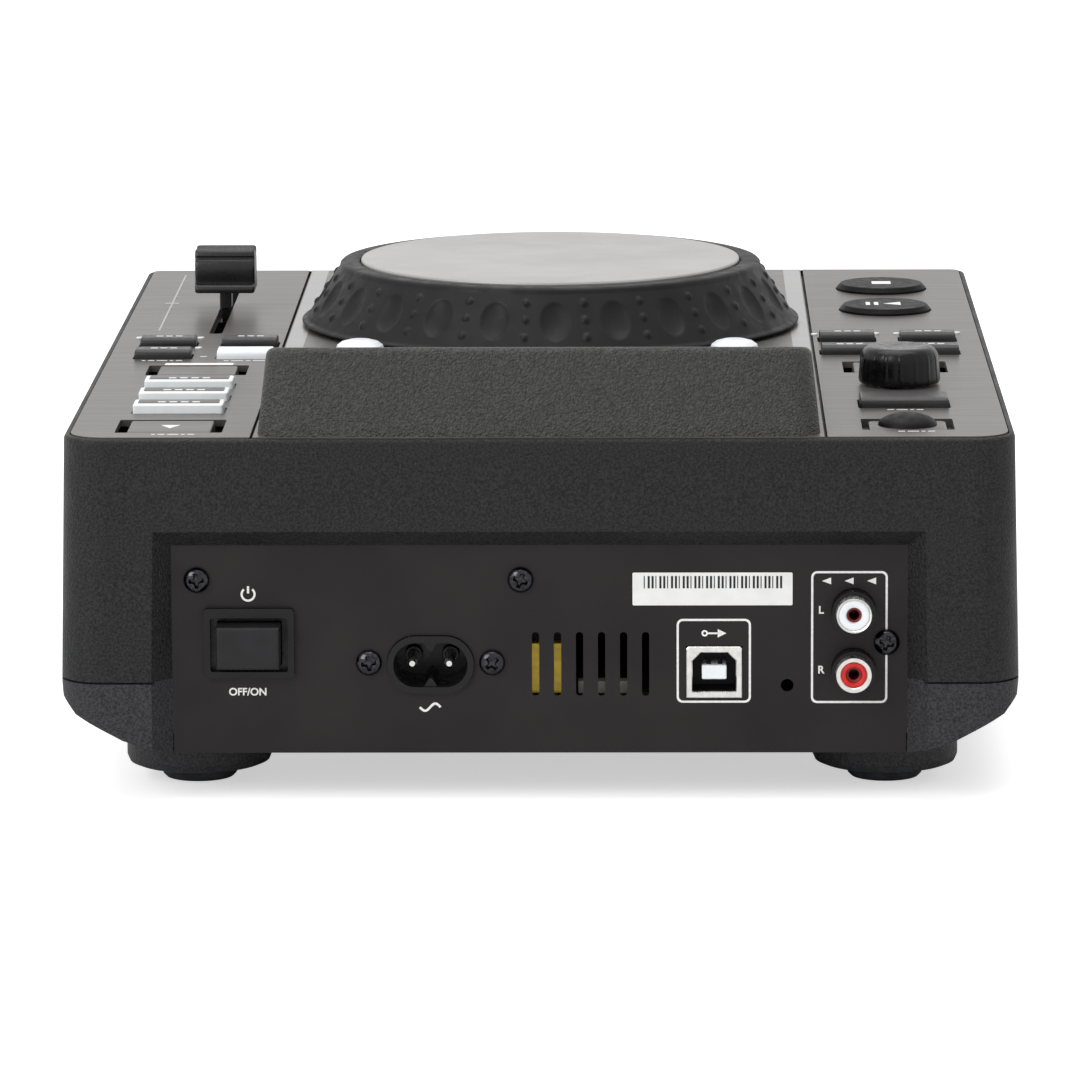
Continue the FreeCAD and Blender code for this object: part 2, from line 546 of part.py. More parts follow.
def display_housing():
    side = [("housing_front_y", "deck_height"), ("housing_rear_y", "deck_height"),
            ("housing_ridge_y", "housing_top_z"), ("housing_front_y", "housing_lip_z")]
    long_way = prism("housing_side", "YZ_Plane", side, "-housing_foot_half", "2 * housing_foot_half")
    back = mirrored_x([("housing_foot_half", "deck_height"), ("housing_top_half", "housing_top_z + 0.01")])
    across = prism("housing_back", "XZ_Plane", back, "housing_front_y - 1",
                   "housing_rear_y - housing_front_y + 2")
    blank = common("housing_blank", long_way, across)
    doc.recompute()
    rear, top = amount("housing_rear_y"), amount("housing_top_z")
    ridge, foot = amount("housing_ridge_y"), amount("deck_height")

    def rounded_edges(shape, radius, chosen):
        return [(number, radius, radius) for number, edge in enumerate(shape.Edges, 1) if chosen(edge)]

    def is_rear_corner(edge):
        box_ = edge.BoundBox
        return box_.YMin > ridge - 0.1 and box_.YMax > rear - 0.1 and box_.ZLength > (top - foot) * 0.9

    corners = doc.addObject("Part::Fillet", "housing_corners")
    corners.Base = blank
    corners.Edges = rounded_edges(blank.Shape, amount("housing_corner"), is_rear_corner)
    doc.recompute()
    soft = doc.addObject("Part::Fillet", "housing_soft")
    soft.Base = corners
    soft.Edges = rounded_edges(corners.Shape, amount("housing_edge"),
                               lambda edge: edge.BoundBox.ZMin > amount("housing_lip_z") - 0.2
                               and edge.BoundBox.ZMax > top - 2 and edge.BoundBox.YMax > ridge - 7)
    cavity_side = [("housing_front_y + wall", "deck_height - 1"),
                   ("housing_rear_y - wall", "deck_height - 1"),
                   ("housing_ridge_y - wall - 0.6", slope_z("housing_ridge_y - wall - 0.6", "wall")),
                   ("housing_front_y + wall", slope_z("housing_front_y + wall", "wall") + " + 0.4")]
    cavity = prism("housing_cavity", "YZ_Plane", cavity_side, "-housing_top_half + wall",
                   "2 * (housing_top_half - wall)")
    opening = box("window_opening", "-window_half", "window_half", "window_front_y", "window_rear_y",
                  "deck_height", "housing_top_z + 5")
    node("display_housing", cut("display_housing", soft, [cavity, opening]))
    node("display_window", sloping_slab("display_window", "window_half - 0.2", "window_front_y + 0.2",
                                        "window_rear_y - 0.2", "wall - window_thick", "window_thick"))
    node("display_module", sloping_slab("display_module", "module_half", "window_front_y - 4",
                                        "window_rear_y + 8", "wall", "module_thick"))


# Rear panel with everything that sits in it
def rear_panel():
    side, low = "recess_half + panel_lap", "panel_low_z"
    corners = mirrored_x([("recess_half - 0.2", "floor_height"), ("recess_half - 0.2", low), (side, low),
                          (side, "recess_top_z + panel_lap")])
    sheet_blank = prism("panel_blank", "XZ_Plane", corners, PANEL_Y, "panel_thick")
    start, deep = f"{PANEL_Y} - 1", "panel_thick + 2"
    tools = [
        prism("switch_cutout", "XZ_Plane", centred("switch_x", "switch_width - 2.3", "switch_z",
                                                   "switch_height_z - 2.2"), start, deep),
        prism("inlet_cutout", "XZ_Plane", centred("inlet_x", "inlet_width + 2 * panel_fit", "inlet_z",
                                                  "inlet_height + 2 * panel_fit"), start, deep,
              "inlet_height / 2 - 0.1"),
        prism("usb_b_cutout", "XZ_Plane", centred("usb_b_x", "usb_b_width + 2 * panel_fit", "usb_b_z",
                                                  "usb_b_height + 2 * panel_fit"), start, deep),
        rod("reset_hole", 1.5, deep, "reset_x", start, "reset_z", "Y"),
    ]
    for z in ("phono_upper_z", "phono_lower_z"):
        tools.append(rod("phono_hole", "phono_boss_radius + panel_fit", deep, "phono_x", start, z, "Y"))
    for number in range(6):
        middle = f"vent_first_x - vent_pitch * {number}"
        tools.append(prism(f"vent_{number}", "XZ_Plane",
                           rectangle(f"{middle} - vent_width / 2", f"{middle} + vent_width / 2",
                                     "vent_low_z", "vent_high_z"), start, deep, "vent_width / 2 - 0.05"))
    tools += panel_screw_holes("screw_radius + 0.2", PANEL_SCREWS + INLET_SCREWS)
    node("rear_panel", cut("rear_panel", sheet_blank, tools))


def pan_screw(x, y, z, axis):
    """A pan-head screw with a cross recess, its head outside the seat and its shank behind it."""
    head = "screw_head_height"
    body = turned("screw", [(0, "-screw_length"), ("screw_radius", "-screw_length"), ("screw_radius", 0),
                            ("screw_head_radius", 0), ("screw_head_radius", f"{head} * 0.45"),
                            ("screw_head_radius * 0.8", f"{head} * 0.85"),
                            ("screw_head_radius * 0.4", head), (0, head)])
    arm, slim = "screw_head_radius * 0.6", "screw_head_radius * 0.14"
    cross = [(arm, f"-{slim}"), (arm, slim), (slim, slim), (slim, arm), (f"-{slim}", arm),
             (f"-{slim}", slim), (f"-{arm}", slim), (f"-{arm}", f"-{slim}"), (f"-{slim}", f"-{slim}"),
             (f"-{slim}", f"-{arm}"), (slim, f"-{arm}"), (slim, f"-{slim}")]
    doc.recompute()
    before = body.Shape.Volume
    pocket = body.newObject("PartDesign::Pocket", "Cross")
    pocket.Profile = outline(body, "XY_Plane", cross, f"{head} + 0.1")
    bind(pocket, Length=f"{head} * 0.6 + 0.1")
    body.Tip = pocket
    doc.recompute()
    if body.Shape.Volume > before - 0.1:
        raise SystemExit("the cross recess cut nothing")
    return place(body, x, y, z, axis)


def screws():
    pieces = [pan_screw(x, WALL_Y, z, ALONG["Y"]) for x, z in PANEL_SCREWS + INLET_SCREWS]
    upside_down = FreeCAD.Rotation(FreeCAD.Vector(1, 0, 0), 180)
    for x in ("-case_screw_x", "case_screw_x"):
        for y in ("case_screw_rear_y", "case_screw_front_y"):
            pieces.append(pan_screw(x, y, "case_screw_seat_z", upside_down))
    node("pan_screws", gather("pan_screws", pieces))


def power_switch():
    inner_wide, inner_high = "switch_width - 2.5", "switch_height_z - 2.4"
    frame = prism("switch_frame", "XZ_Plane", centred("switch_x", "switch_width", "switch_z",
                                                      "switch_height_z"), WALL_Y, 1.5, 1)
    block = prism("switch_block", "XZ_Plane", centred("switch_x", inner_wide, "switch_z", inner_high),
                  f"{WALL_Y} - 22", 22.5)
    bore = prism("switch_bore", "XZ_Plane",
                 centred("switch_x", "button_width + 0.4", "switch_z - button_drop", "button_height + 0.4"),
                 f"{WALL_Y} - 12", 15)
    well = prism("switch_recess", "XZ_Plane", centred("switch_x", "switch_width - 2.9", "switch_z - 0.35",
                                                      "switch_height_z - 3.7"), f"{WALL_Y} - 1.2", 4, 0.6)
    node("power_switch_body", cut("power_switch_body", join("switch_solid", [frame, block]), [bore, well]))
    body = doc.addObject("PartDesign::Body", "power_button")
    feature = pad(body, "XZ_Plane",
                  centred("switch_x", "button_width", "switch_z - button_drop", "button_height"),
                  f"{WALL_Y} - 8", "8 + 1.5 + button_proud")
    outer = amount(f"{WALL_Y} + 1.5 + button_proud")
    soften(body, feature, "Fillet", 0.8, lambda edge: edge.BoundBox.YMin > outer - 1e-3)
    node("power_button", body)


def mains_inlet():
    nose = prism("inlet_nose", "XZ_Plane", centred("inlet_x", "inlet_width", "inlet_z", "inlet_height"),
                 f"{WALL_Y} - 19", 20, "inlet_height / 2 - 0.1")
    ears = prism("inlet_ears", "XZ_Plane",
                 centred("inlet_x", "2 * inlet_screw_half + 8", "inlet_z + 0.5", 11),
                 f"{PANEL_Y} - 2", 2, 4)
    hollow = prism("inlet_hollow", "XZ_Plane",
                   centred("inlet_x", "inlet_width - 2.9", "inlet_z", "inlet_height - 3.2"),
                   f"{WALL_Y} - 15", 20, "inlet_height / 2 - 1.7")
    holes = panel_screw_holes("screw_radius", INLET_SCREWS)
    half = "pin_pitch / 2"
    for x in (f"inlet_x - {half}", f"inlet_x + {half}"):
        holes.append(rod("pin_hole", "pin_radius", 30, x, f"{WALL_Y} - 25", "inlet_z", "Y"))
    node("mains_inlet", cut("mains_inlet", join("inlet_solid", [nose, ears]), holes + [hollow]))
    pins = []
    for x in (f"inlet_x - {half}", f"inlet_x + {half}"):
        body = turned("inlet_pin", [(0, -24), ("pin_radius", -24), ("pin_radius", -1.6),
                                    ("pin_radius - 0.5", -0.9), (0, -0.9)], x, WALL_Y, "inlet_z", "Y")
        pins.append(body)
    node("inlet_pins", gather("inlet_pins", pins))


def usb_b_socket():
    shell = prism("usb_b_shell", "XZ_Plane", centred("usb_b_x", "usb_b_width", "usb_b_z", "usb_b_height"),
                  f"{WALL_Y} - 16", 16.4, 0.5)
    half, low, high, bevel = 4.6, "usb_b_z - 4.4", "usb_b_z + 4", 2.2
    mouth = [(f"usb_b_x - {half}", low), (f"usb_b_x + {half}", low),
             (f"usb_b_x + {half}", f"{high} - {bevel}"), (f"usb_b_x + {half} - {bevel}", high),
             (f"usb_b_x - {half} + {bevel}", high), (f"usb_b_x - {half}", f"{high} - {bevel}")]
    hollow = prism("usb_b_mouth", "XZ_Plane", mouth, f"{WALL_Y} - 10", 12)
    metal = cut("usb_b_metal", shell, [hollow])
    tongue = prism("usb_b_tongue", "XZ_Plane", centred("usb_b_x", 5.6, "usb_b_z - 0.2", 3.2),
                   f"{WALL_Y} - 10", 8.6, 0.3)
    node("usb_b_socket", gather("usb_b_socket", [metal, tongue]))


def phono_sockets():
    block = box("phono_block", "phono_x - 5.1", "phono_x + 5.1", f"{PANEL_Y} - 13.5", PANEL_Y,
                "main_board_z", "phono_upper_z + 8")
    pieces, holes, rings = [block], [], []
    for z in ("phono_upper_z", "phono_lower_z"):
        pieces.append(rod("phono_boss", "phono_boss_radius", "phono_proud + panel_thick - 3.5",
                          "phono_x", PANEL_Y, z, "Y"))
        holes.append(rod("phono_bore", "phono_radius - 0.6", "phono_proud + 20", "phono_x",
                         f"{PANEL_Y} - 5", z, "Y"))
        holes.append(rod("phono_seat", "phono_radius", "phono_proud + 20", "phono_x", PANEL_Y, z, "Y"))
        rings.append(turned("phono_ring", [("phono_radius - 0.6", 0), ("phono_radius", 0),
                                           ("phono_radius", "phono_proud + panel_thick"),
                                           ("phono_radius - 0.6", "phono_proud + panel_thick")],
                            "phono_x", PANEL_Y, z, "Y"))
        rings.append(turned("phono_core", [(1.7, -5), ("phono_radius - 0.6", -5),
                                           ("phono_radius - 0.6", "phono_proud + panel_thick - 0.6"),
                                           (1.7, "phono_proud + panel_thick - 0.6")],
                            "phono_x", PANEL_Y, z, "Y"))
    node("phono_block", cut("phono_block", join("phono_solid", pieces), holes))
    node("phono_rings", gather("phono_rings", rings))


# Jog wheel on its shaft and bearing
def jog():
    low = "deck_height + jog_lift"
    wheel = [("jog_shaft_radius", "bearing_top_z + 0.3"), ("jog_hub_radius", "bearing_top_z + 0.3"),
             ("jog_hub_radius", "jog_rim_z - 3"), ("jog_rim_radius - 3", "jog_rim_z - 3"),
             ("jog_radius - 3.5", low), ("jog_radius", low), ("jog_radius", f"{low} + jog_lip"),
             ("jog_radius - 0.9", f"{low} + jog_lip + 0.5"), ("jog_rim_radius + 0.7", "jog_rim_z - 0.8"),
             ("jog_rim_radius - 0.3", "jog_rim_z"), ("jog_disc_radius + 0.3", "jog_rim_z"),
             ("jog_disc_radius + 0.3", "jog_disc_z - jog_disc_thick"),
             ("jog_shaft_radius", "jog_disc_z - jog_disc_thick")]
    node("jog_wheel", turned("jog_wheel", wheel, 0, "jog_y"))
    node("jog_disc", turned("jog_disc", [(0, "jog_disc_z - jog_disc_thick"),
                                         ("jog_disc_radius", "jog_disc_z - jog_disc_thick"),
                                         ("jog_disc_radius", "jog_disc_z - 0.3"),
                                         ("jog_disc_radius - 0.3", "jog_disc_z"), (0, "jog_disc_z")],
                            0, "jog_y"))
    shaft = [(0, "code_disc_z - 2"), ("jog_hub_radius - 1", "code_disc_z - 2"),
             ("jog_hub_radius - 1", "code_disc_z"), ("code_disc_radius", "code_disc_z"),
             ("code_disc_radius", "code_disc_z + 1.2"), ("jog_hub_radius - 1", "code_disc_z + 1.2"),
             ("jog_hub_radius - 1", "bearing_low_z - 0.3"), ("jog_shaft_radius", "bearing_low_z - 0.3"),
             ("jog_shaft_radius", "jog_disc_z - jog_disc_thick"), (0, "jog_disc_z - jog_disc_thick")]
    node("jog_shaft", turned("jog_shaft", shaft, 0, "jog_y"))
    bore = "jog_shaft_radius + running_fit"
    bearing = [(bore, "bearing_low_z"), ("bearing_radius", "bearing_low_z"),
               ("bearing_radius", f"{ROOF_LOW} - wall"), ("bearing_flange_radius", f"{ROOF_LOW} - wall"),
               ("bearing_flange_radius", ROOF_LOW), ("bearing_radius", ROOF_LOW),
               ("bearing_radius", "bearing_top_z"), (bore, "bearing_top_z")]
    node("jog_bearing", turned("jog_bearing", bearing, 0, "jog_y"))


# Tempo fader: slide potentiometer, lever and cap
FADER_Y = "(fader_middle_y + fader_rest)"


def fader():
    half, length = "fader_body_width / 2", "fader_body_length / 2"
    outer = box("fader_can", f"fader_x - {half}", f"fader_x + {half}", f"fader_middle_y - {length}",
                f"fader_middle_y + {length}", "fader_body_low_z", ROOF_TOP)
    inner = box("fader_hollow", f"fader_x - {half} + 1", f"fader_x + {half} - 1",
                f"fader_middle_y - {length} + 1", f"fader_middle_y + {length} - 1", "fader_body_low_z + 1",
                f"{ROOF_TOP} - 1.2")
    slot = box("fader_can_slot", "fader_x - fader_slot / 2", "fader_x + fader_slot / 2",
               "fader_middle_y - fader_slot_length / 2", "fader_middle_y + fader_slot_length / 2",
               f"{ROOF_TOP} - 2", f"{ROOF_TOP} + 1")
    node("fader_body", cut("fader_body", outer, [inner, slot]))
    blade_top = "fader_cap_low_z + 7"
    wiper = box("fader_wiper", f"fader_x - {half} + 1.4", f"fader_x + {half} - 1.4", f"{FADER_Y} - 3.5",
                f"{FADER_Y} + 3.5", "fader_body_low_z + 1.3", f"{ROOF_TOP} - 1.6")

    def blade(name):
        return box(name, "fader_x - 1", "fader_x + 1", f"{FADER_Y} - 2", f"{FADER_Y} + 2",
                   "fader_body_low_z + 3", blade_top)

    node("fader_lever", join("fader_lever", [wiper, blade("fader_blade")]))
    low, top = "fader_cap_low_z", "fader_cap_top_z"
    half_profile = [(7, low), (7, f"{low} + 1.2"), (6.6, f"{low} + 1.6"), (6.3, f"{top} - 6.2"),
                    (5.7, f"{top} - 5.3"), (4.2, f"{top} - 4.9"), (3.2, f"{top} - 4.2"),
                    (2.7, f"{top} - 3.2"), (2.9, f"{top} - 0.8"), (2.3, top)]
    corners = [(f"{FADER_Y} + {y}", z) for y, z in half_profile]
    corners += [(f"{FADER_Y} - {y}", z) for y, z in reversed(half_profile)]
    grip = prism("fader_grip", "YZ_Plane", corners, "fader_x - fader_cap_width / 2", "fader_cap_width")
    neck = prism("fader_cap_neck", "XY_Plane", centred("fader_x", "fader_neck", FADER_Y, 7),
                 "deck_height + fader_neck_lift", "fader_cap_low_z - deck_height", 0.8)
    node("fader_cap", cut("fader_cap", join("fader_cap_solid", [grip, neck]), [blade("fader_pocket")]))


# Browse knob, its shaft and the encoder under it
def browse_knob():
    fit = "encoder_shaft_radius + running_fit"
    profile = [(fit, "knob_low_z + 1.4"), (5, "knob_low_z + 1.4"), (5, "knob_low_z"),
               ("knob_radius", "knob_low_z"), ("knob_radius", "knob_low_z + 0.9"),
               ("knob_radius - 0.5", "knob_low_z + 1.3"), ("knob_radius - 0.7", "knob_top_z - 1.6"),
               ("knob_radius - 1.1", "knob_top_z - 0.7"), ("knob_face_radius", "knob_top_z - 0.15"),
               ("knob_face_radius - 1", "knob_top_z"), (0, "knob_top_z"), (0, "knob_top_z - 2"),
               (fit, "knob_top_z - 2")]
    body = turned("browse_knob", profile, "knob_x", "knob_y")
    doc.recompute()
    before = body.Shape.Volume
    flute = body.newObject("PartDesign::Pocket", "Flute")
    flute.Profile = outline(body, "XY_Plane", centred("knob_radius + 0.35", 2, 0, 2.2), "knob_top_z + 1")
    bind(flute, Length="knob_top_z - knob_low_z - 0.6")
    pattern = body.newObject("PartDesign::PolarPattern", "Flutes")
    pattern.Originals = [flute]
    pattern.Axis = ([item for item in body.Origin.OriginFeatures if item.Role == "Z_Axis"][0], [""])
    pattern.Angle = 360
    pattern.Occurrences = 12
    body.Tip = pattern
    doc.recompute()
    if body.Shape.Volume > before - 1:
        raise SystemExit("the knob's flutes cut nothing")
    node("browse_knob", body)
    node("browse_shaft", rod("browse_shaft", "encoder_shaft_radius", "knob_top_z - 2.6 - board_top_z - 1",
                             "knob_x", "knob_y", "board_top_z + 1"))
    half = "encoder_body / 2"
    can = box("encoder_can", f"knob_x - {half}", f"knob_x + {half}", f"knob_y - {half}", f"knob_y + {half}",
              "board_top_z", "board_top_z + 6.6")
    bush = rod("encoder_bush", "encoder_shaft_radius + 0.65", "knob_low_z + 0.2 - board_top_z", "knob_x",
               "knob_y", "board_top_z")
    bore = rod("encoder_bore", fit, 30, "knob_x", "knob_y", "board_top_z + 0.8")
    node("encoder_body", cut("encoder_body", join("encoder_solid", [can, bush]), [bore]))


# Keys, their boards and their switches
PLUNGER_TOP = "(board_top_z + switch_height + plunger_height)"


def key_body(name, width):
    """A key with its cap, a flange that stops it under the plate and a stem over its switch."""
    x, y, wide, deep = f"{name}_x", f"{name}_y", f"{name}_width", f"{name}_depth"
    flange_top = f"{ROOF_TOP} - key_gap"
    top = f"deck_height + {name}_proud"
    stem_low = f"{PLUNGER_TOP} + press_gap"
    if not width:
        radius, crown = f"{deep} / 2", f"{name}_proud"
        profile = [(0, stem_low), ("stem_half", stem_low), ("stem_half", f"{flange_top} - flange_thick"),
                   (f"{radius} + flange_lap", f"{flange_top} - flange_thick"),
                   (f"{radius} + flange_lap", flange_top), (radius, flange_top)]
        if name.startswith("round"):
            profile += [(radius, f"deck_height + {crown} * 0.3"),
                        (f"{radius} * 0.93", f"deck_height + {crown} * 0.6"),
                        (f"{radius} * 0.75", f"deck_height + {crown} * 0.82"),
                        (f"{radius} * 0.45", f"deck_height + {crown} * 0.96"), (0, top)]
        else:
            profile += [(radius, f"{top} - 1.1"), (f"{radius} - 0.9", f"{top} - 0.1"),
                        (f"{radius} - 1.2", top), (0, top)]
        return turned(name, profile, x, y)
    body = doc.addObject("PartDesign::Body", name)
    cap = pad(body, "XY_Plane", centred(x, wide, y, deep), flange_top, f"{top} - ({flange_top})")
    height = amount(top)
    soften(body, cap, "Fillet", "key_round",
           lambda edge: along_pad(edge, NORMAL["XY_Plane"]) or edge.BoundBox.ZMin > height - 1e-3)
    pad(body, "XY_Plane", centred(x, wide, y, f"{deep} + 2 * ({name}_end_gap + key_gap + flange_lap)"),
        f"{flange_top} - flange_thick", "flange_thick")
    pad(body, "XY_Plane", centred(x, "2 * stem_half", y, "2 * stem_half"), stem_low,
        f"{flange_top} - flange_thick - ({stem_low})")
    return body


def keys():
    switches = []
    for name, (_, _, _, width, *_) in KEYS.items():
        node(name, key_body(name, width))
        x, y = f"{name}_x", f"{name}_y"
        base = prism("switch_base", "XY_Plane", centred(x, "switch_size", y, "switch_size"), "board_top_z",
                     "switch_height")
        plunger = rod("switch_plunger", "plunger_radius", "plunger_height", x, y,
                      "board_top_z + switch_height")
        switches.append(join(f"{name}_switch", [base, plunger]))
    node("key_switches", gather("key_switches", switches))


def boards():
    low, top = "board_top_z - board_thick", "board_top_z"
    inner = "well_side_x - 5"
    notches = [rod("board_notch", "case_post_radius + 0.4", "board_thick + 2", x, "case_screw_rear_y",
                   f"{low} - 1") for x in ("-case_screw_x", "case_screw_x")]
    right, left = (cut(f"{side}_board", blank, [notch]) for side, notch, blank in (
        ("right", notches[1], box("right_blank", inner, "well_outer_x", "right_board_front_y", "board_rear_y",
                                  low, top)),
        ("left", notches[0], box("left_blank", "-well_outer_x", f"-({inner})", "left_board_front_y",
                                 "board_rear_y", low, top))))
    pieces = [
        right, left,
        box("jog_board", "-round_button_right_x - 9", "round_button_right_x + 9", "round_button_right_y - 6",
            "round_button_right_y + 8", low, top),
    ]
    pieces += [box(name, f"{name}_left_x", f"{name}_right_x", f"board_rear_y - {name}_depth", "board_rear_y",
                   "main_board_z - board_thick", "main_board_z") for name in ("main_board", "power_board")]
    node("circuit_boards", gather("circuit_boards", pieces))
    rear, middle = f"{PANEL_Y} - transformer_gap", f"({PANEL_Y} - transformer_gap - winding_depth / 2)"
    winding_low = "main_board_z + winding_lift"
    winding = prism("transformer_winding", "XZ_Plane",
                    centred("transformer_x", "winding_width", f"{winding_low} + winding_height / 2",
                            "winding_height"), f"{rear} - winding_depth", "winding_depth", 1)
    core = box("transformer_core", "transformer_x - core_width / 2", "transformer_x + core_width / 2",
               f"{middle} - core_depth / 2", f"{middle} + core_depth / 2", "main_board_z",
               "main_board_z + core_height")
    node("transformer", join("transformer", [core, winding]))


# Top USB socket under its lift-off cover
def top_usb():
    holder = box("usb_holder", "usb_x - 12.5", "usb_x + 12.5", "usb_y - 9.3", "usb_y + 8.5", "board_top_z",
                 ROOF_TOP)
    mouth = box("usb_mouth", "usb_x - 6.3", "usb_x + 6.3", "usb_y - 2.6", "usb_y + 2.6", "board_top_z + 1",
                f"{ROOF_TOP} + 1")
    tongue = box("usb_tongue", "usb_x - 5.5", "usb_x + 5.5", "usb_y - 1.9", "usb_y - 0.1", "board_top_z",
                 f"{ROOF_TOP} - 1")
    node("top_usb_socket", join("top_usb_socket", [cut("usb_shell", holder, [mouth]), tongue]))
    plan = centred("usb_x", "usb_recess_width - 2 * key_gap", "usb_y", "usb_recess_depth - 2 * key_gap")
    flat = prism("usb_flat", "XY_Plane", plan, ROOF_TOP, f"usb_cover_top - {ROOF_TOP}", "key_round")
    dome = [(5, 0), (4.6, 1.2), (3.4, 2.2), (1.8, 2.8), (0, 3)]
    grip = turned("usb_grip", [(0, ROOF_TOP), (dome[0][0], ROOF_TOP)]
                  + [(radius, f"usb_cover_top + {rise}") for radius, rise in dome], "usb_x", "usb_y")
    node("usb_cover", join("usb_cover", [flat, grip]))


# Feet
def feet():
    cups, pads = [], []
    for x in ("-foot_x", "foot_x"):
        for y in ("-foot_y", "foot_y"):
            low, radius = "foot_low_z", "foot_radius"
            seat = f"{low} + pad_sunk"
            cup = turned("foot_cup", [(0, seat), ("pad_radius", seat), ("pad_radius", low),
                                      (f"{radius} - foot_round", low), (f"{radius} - 0.6", f"{low} + 0.6"),
                                      (radius, f"{low} + foot_round"), (radius, "bevel_round_z"),
                                      (0, "bevel_round_z")], x, y)
            cups.append(cut("foot_cup_fitted", cup, [bevelled_prism("foot_fit")]))
            pads.append(turned("foot_pad", [(0, 0), ("pad_radius - 0.8", 0), ("pad_radius", 0.8),
                                            ("pad_radius", seat), (0, seat)], x, y))
    node("foot_cups", gather("foot_cups", cups))
    node("foot_pads", gather("foot_pads", pads))


# Slot-in disc drive
def disc_drive():
    half, sheet_thick, floor = "drive_half", "drive_sheet", "drive_floor_z"
    front, rear = "drive_front_y", "drive_rear_y"
    pieces = [box("drive_floor", f"-{half}", half, front, rear, floor, f"{floor} + {sheet_thick}")]
    for x0, x1 in ((f"-{half}", f"-{half} + {sheet_thick}"), (f"{half} - {sheet_thick}", half)):
        pieces.append(box("drive_side", x0, x1, front, rear, floor, "drive_wall_top_z"))
    tabs = (("tab_front_y - drive_sheet", "tab_front_y"), ("tab_rear_y", "tab_rear_y + drive_sheet"))
    for y0, y1 in tabs:
        pieces.append(box("drive_tab", "-rod_x - 5", "screw_shaft_x + 5", y0, y1, floor, "rod_z + 5"))
    holes = [
        rod("screw_shaft_hole", "axle_radius + running_fit", 80, "screw_shaft_x", "tab_front_y - 10",
            "rod_z", "Y"),
        rod("roller_hole", "axle_radius + running_fit", 200, -100, "roller_y", "roller_z", "X"),
    ]
    node("drive_frame", cut("drive_frame", join("drive_sheet_metal", pieces), holes))
    motor_low, motor_top = f"{floor} + {sheet_thick}", f"{floor} + {sheet_thick} + motor_height"
    motor = turned("spindle_motor", [("axle_radius + running_fit", motor_low), ("motor_radius", motor_low),
                                     ("motor_radius", motor_top), ("axle_radius + running_fit", motor_top)],
                   0, "spindle_y")
    sled_motor = rod("sled_motor", "sled_motor_radius", "sled_motor_length", "screw_shaft_x",
                     "tab_rear_y + drive_sheet", "rod_z", "Y")
    node("drive_motors", gather("drive_motors", [motor, sled_motor]))
    hub = [(0, f"{floor} + {sheet_thick} + 0.5"), ("axle_radius", f"{floor} + {sheet_thick} + 0.5"),
           ("axle_radius", f"{motor_top} + 0.3"), ("hub_radius", f"{motor_top} + 0.3"),
           ("hub_radius", "disc_plane_z - 0.6"), ("hub_nose_radius", "disc_plane_z - 0.6"),
           ("hub_nose_radius", "disc_plane_z + 0.4"), ("hub_tip_radius", "disc_plane_z + 1.6"),
           (0, "disc_plane_z + 1.6")]
    node("spindle_hub", turned("spindle_hub", hub, 0, "spindle_y"))
    rods = [rod("sled_rod", "axle_radius", "tab_rear_y - tab_front_y", x, "tab_front_y", "rod_z", "Y")
            for x in ("-rod_x", "rod_x")]
    node("sled_rods", gather("sled_rods", rods))
    base = box("sled_base", "-rod_x - 4.5", "screw_shaft_x + 4", "sled_y - sled_length / 2",
               "sled_y + sled_length / 2", "rod_z - 3.4", "rod_z + 3.4")
    lens = rod("sled_lens", 4, 3, 0, "sled_y", "rod_z + 3")
    bores = [rod("sled_bore", "axle_radius + running_fit", 60, x, "sled_y - 30", "rod_z", "Y")
             for x in ("-rod_x", "rod_x", "screw_shaft_x")]
    node("pickup_sled", cut("pickup_sled", join("sled_solid", [base, lens]), bores))
    node("lead_screw", rod("lead_screw", "axle_radius", "tab_rear_y - tab_front_y + 1.2", "screw_shaft_x",
                           "tab_front_y - 0.6", "rod_z", "Y"))
    roller = [(0, f"-{half} + 0.2"), ("axle_radius", f"-{half} + 0.2"), ("axle_radius", "-roller_half"),
              ("roller_radius", "-roller_half"), ("roller_radius - 0.5", 0), ("roller_radius", "roller_half"),
              ("axle_radius", "roller_half"), ("axle_radius", f"{half} - 0.2"), (0, f"{half} - 0.2")]
    node("loading_roller", turned("loading_roller", roller, 0, "roller_y", "roller_z", "X"))


top_shell()
bottom_shell()
deck_plates()
display_housing()
rear_panel()
screws()
power_switch()
mains_inlet()
usb_b_socket()
phono_sockets()
jog()
fader()
browse_knob()
keys()
boards()
top_usb()
feet()
disc_drive()

doc.recompute()
faults = [piece.Label for piece in doc.Objects if "Invalid" in piece.State or "Error" in piece.State]
faults += [name for name, piece in nodes.items() if piece.Shape.isNull() or not piece.Shape.isValid()]
if faults:
    raise SystemExit(f"these pieces failed: {faults}")

os.makedirs("parts", exist_ok=True)
for name, piece in nodes.items():
    piece.Shape.exportStep(f"parts/{name}.step")
    size = piece.Shape.BoundBox
    print(f"{name:28s} {len(piece.Shape.Solids):3d} solids  x {size.XMin:7.1f} {size.XMax:7.1f}  "
          f"y {size.YMin:7.1f} {size.YMax:7.1f}  z {size.ZMin:6.1f} {size.ZMax:6.1f}")
print(len(nodes), "nodes")
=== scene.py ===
# %% [markdown]
# # A tabletop disc player, seen from behind
# The CAD model is loaded as a fixed frame. Every visible piece is either that CAD node with a
# better finish, or a finer mesh that stands in the same place. Lengths on the player are in
# millimetres in the frame's own axes, and a single scale turns them into metres. The camera, the
# lamps and the floor are placed in metres.

import json
import math

import bmesh
import bpy
from mathutils import Matrix, Vector

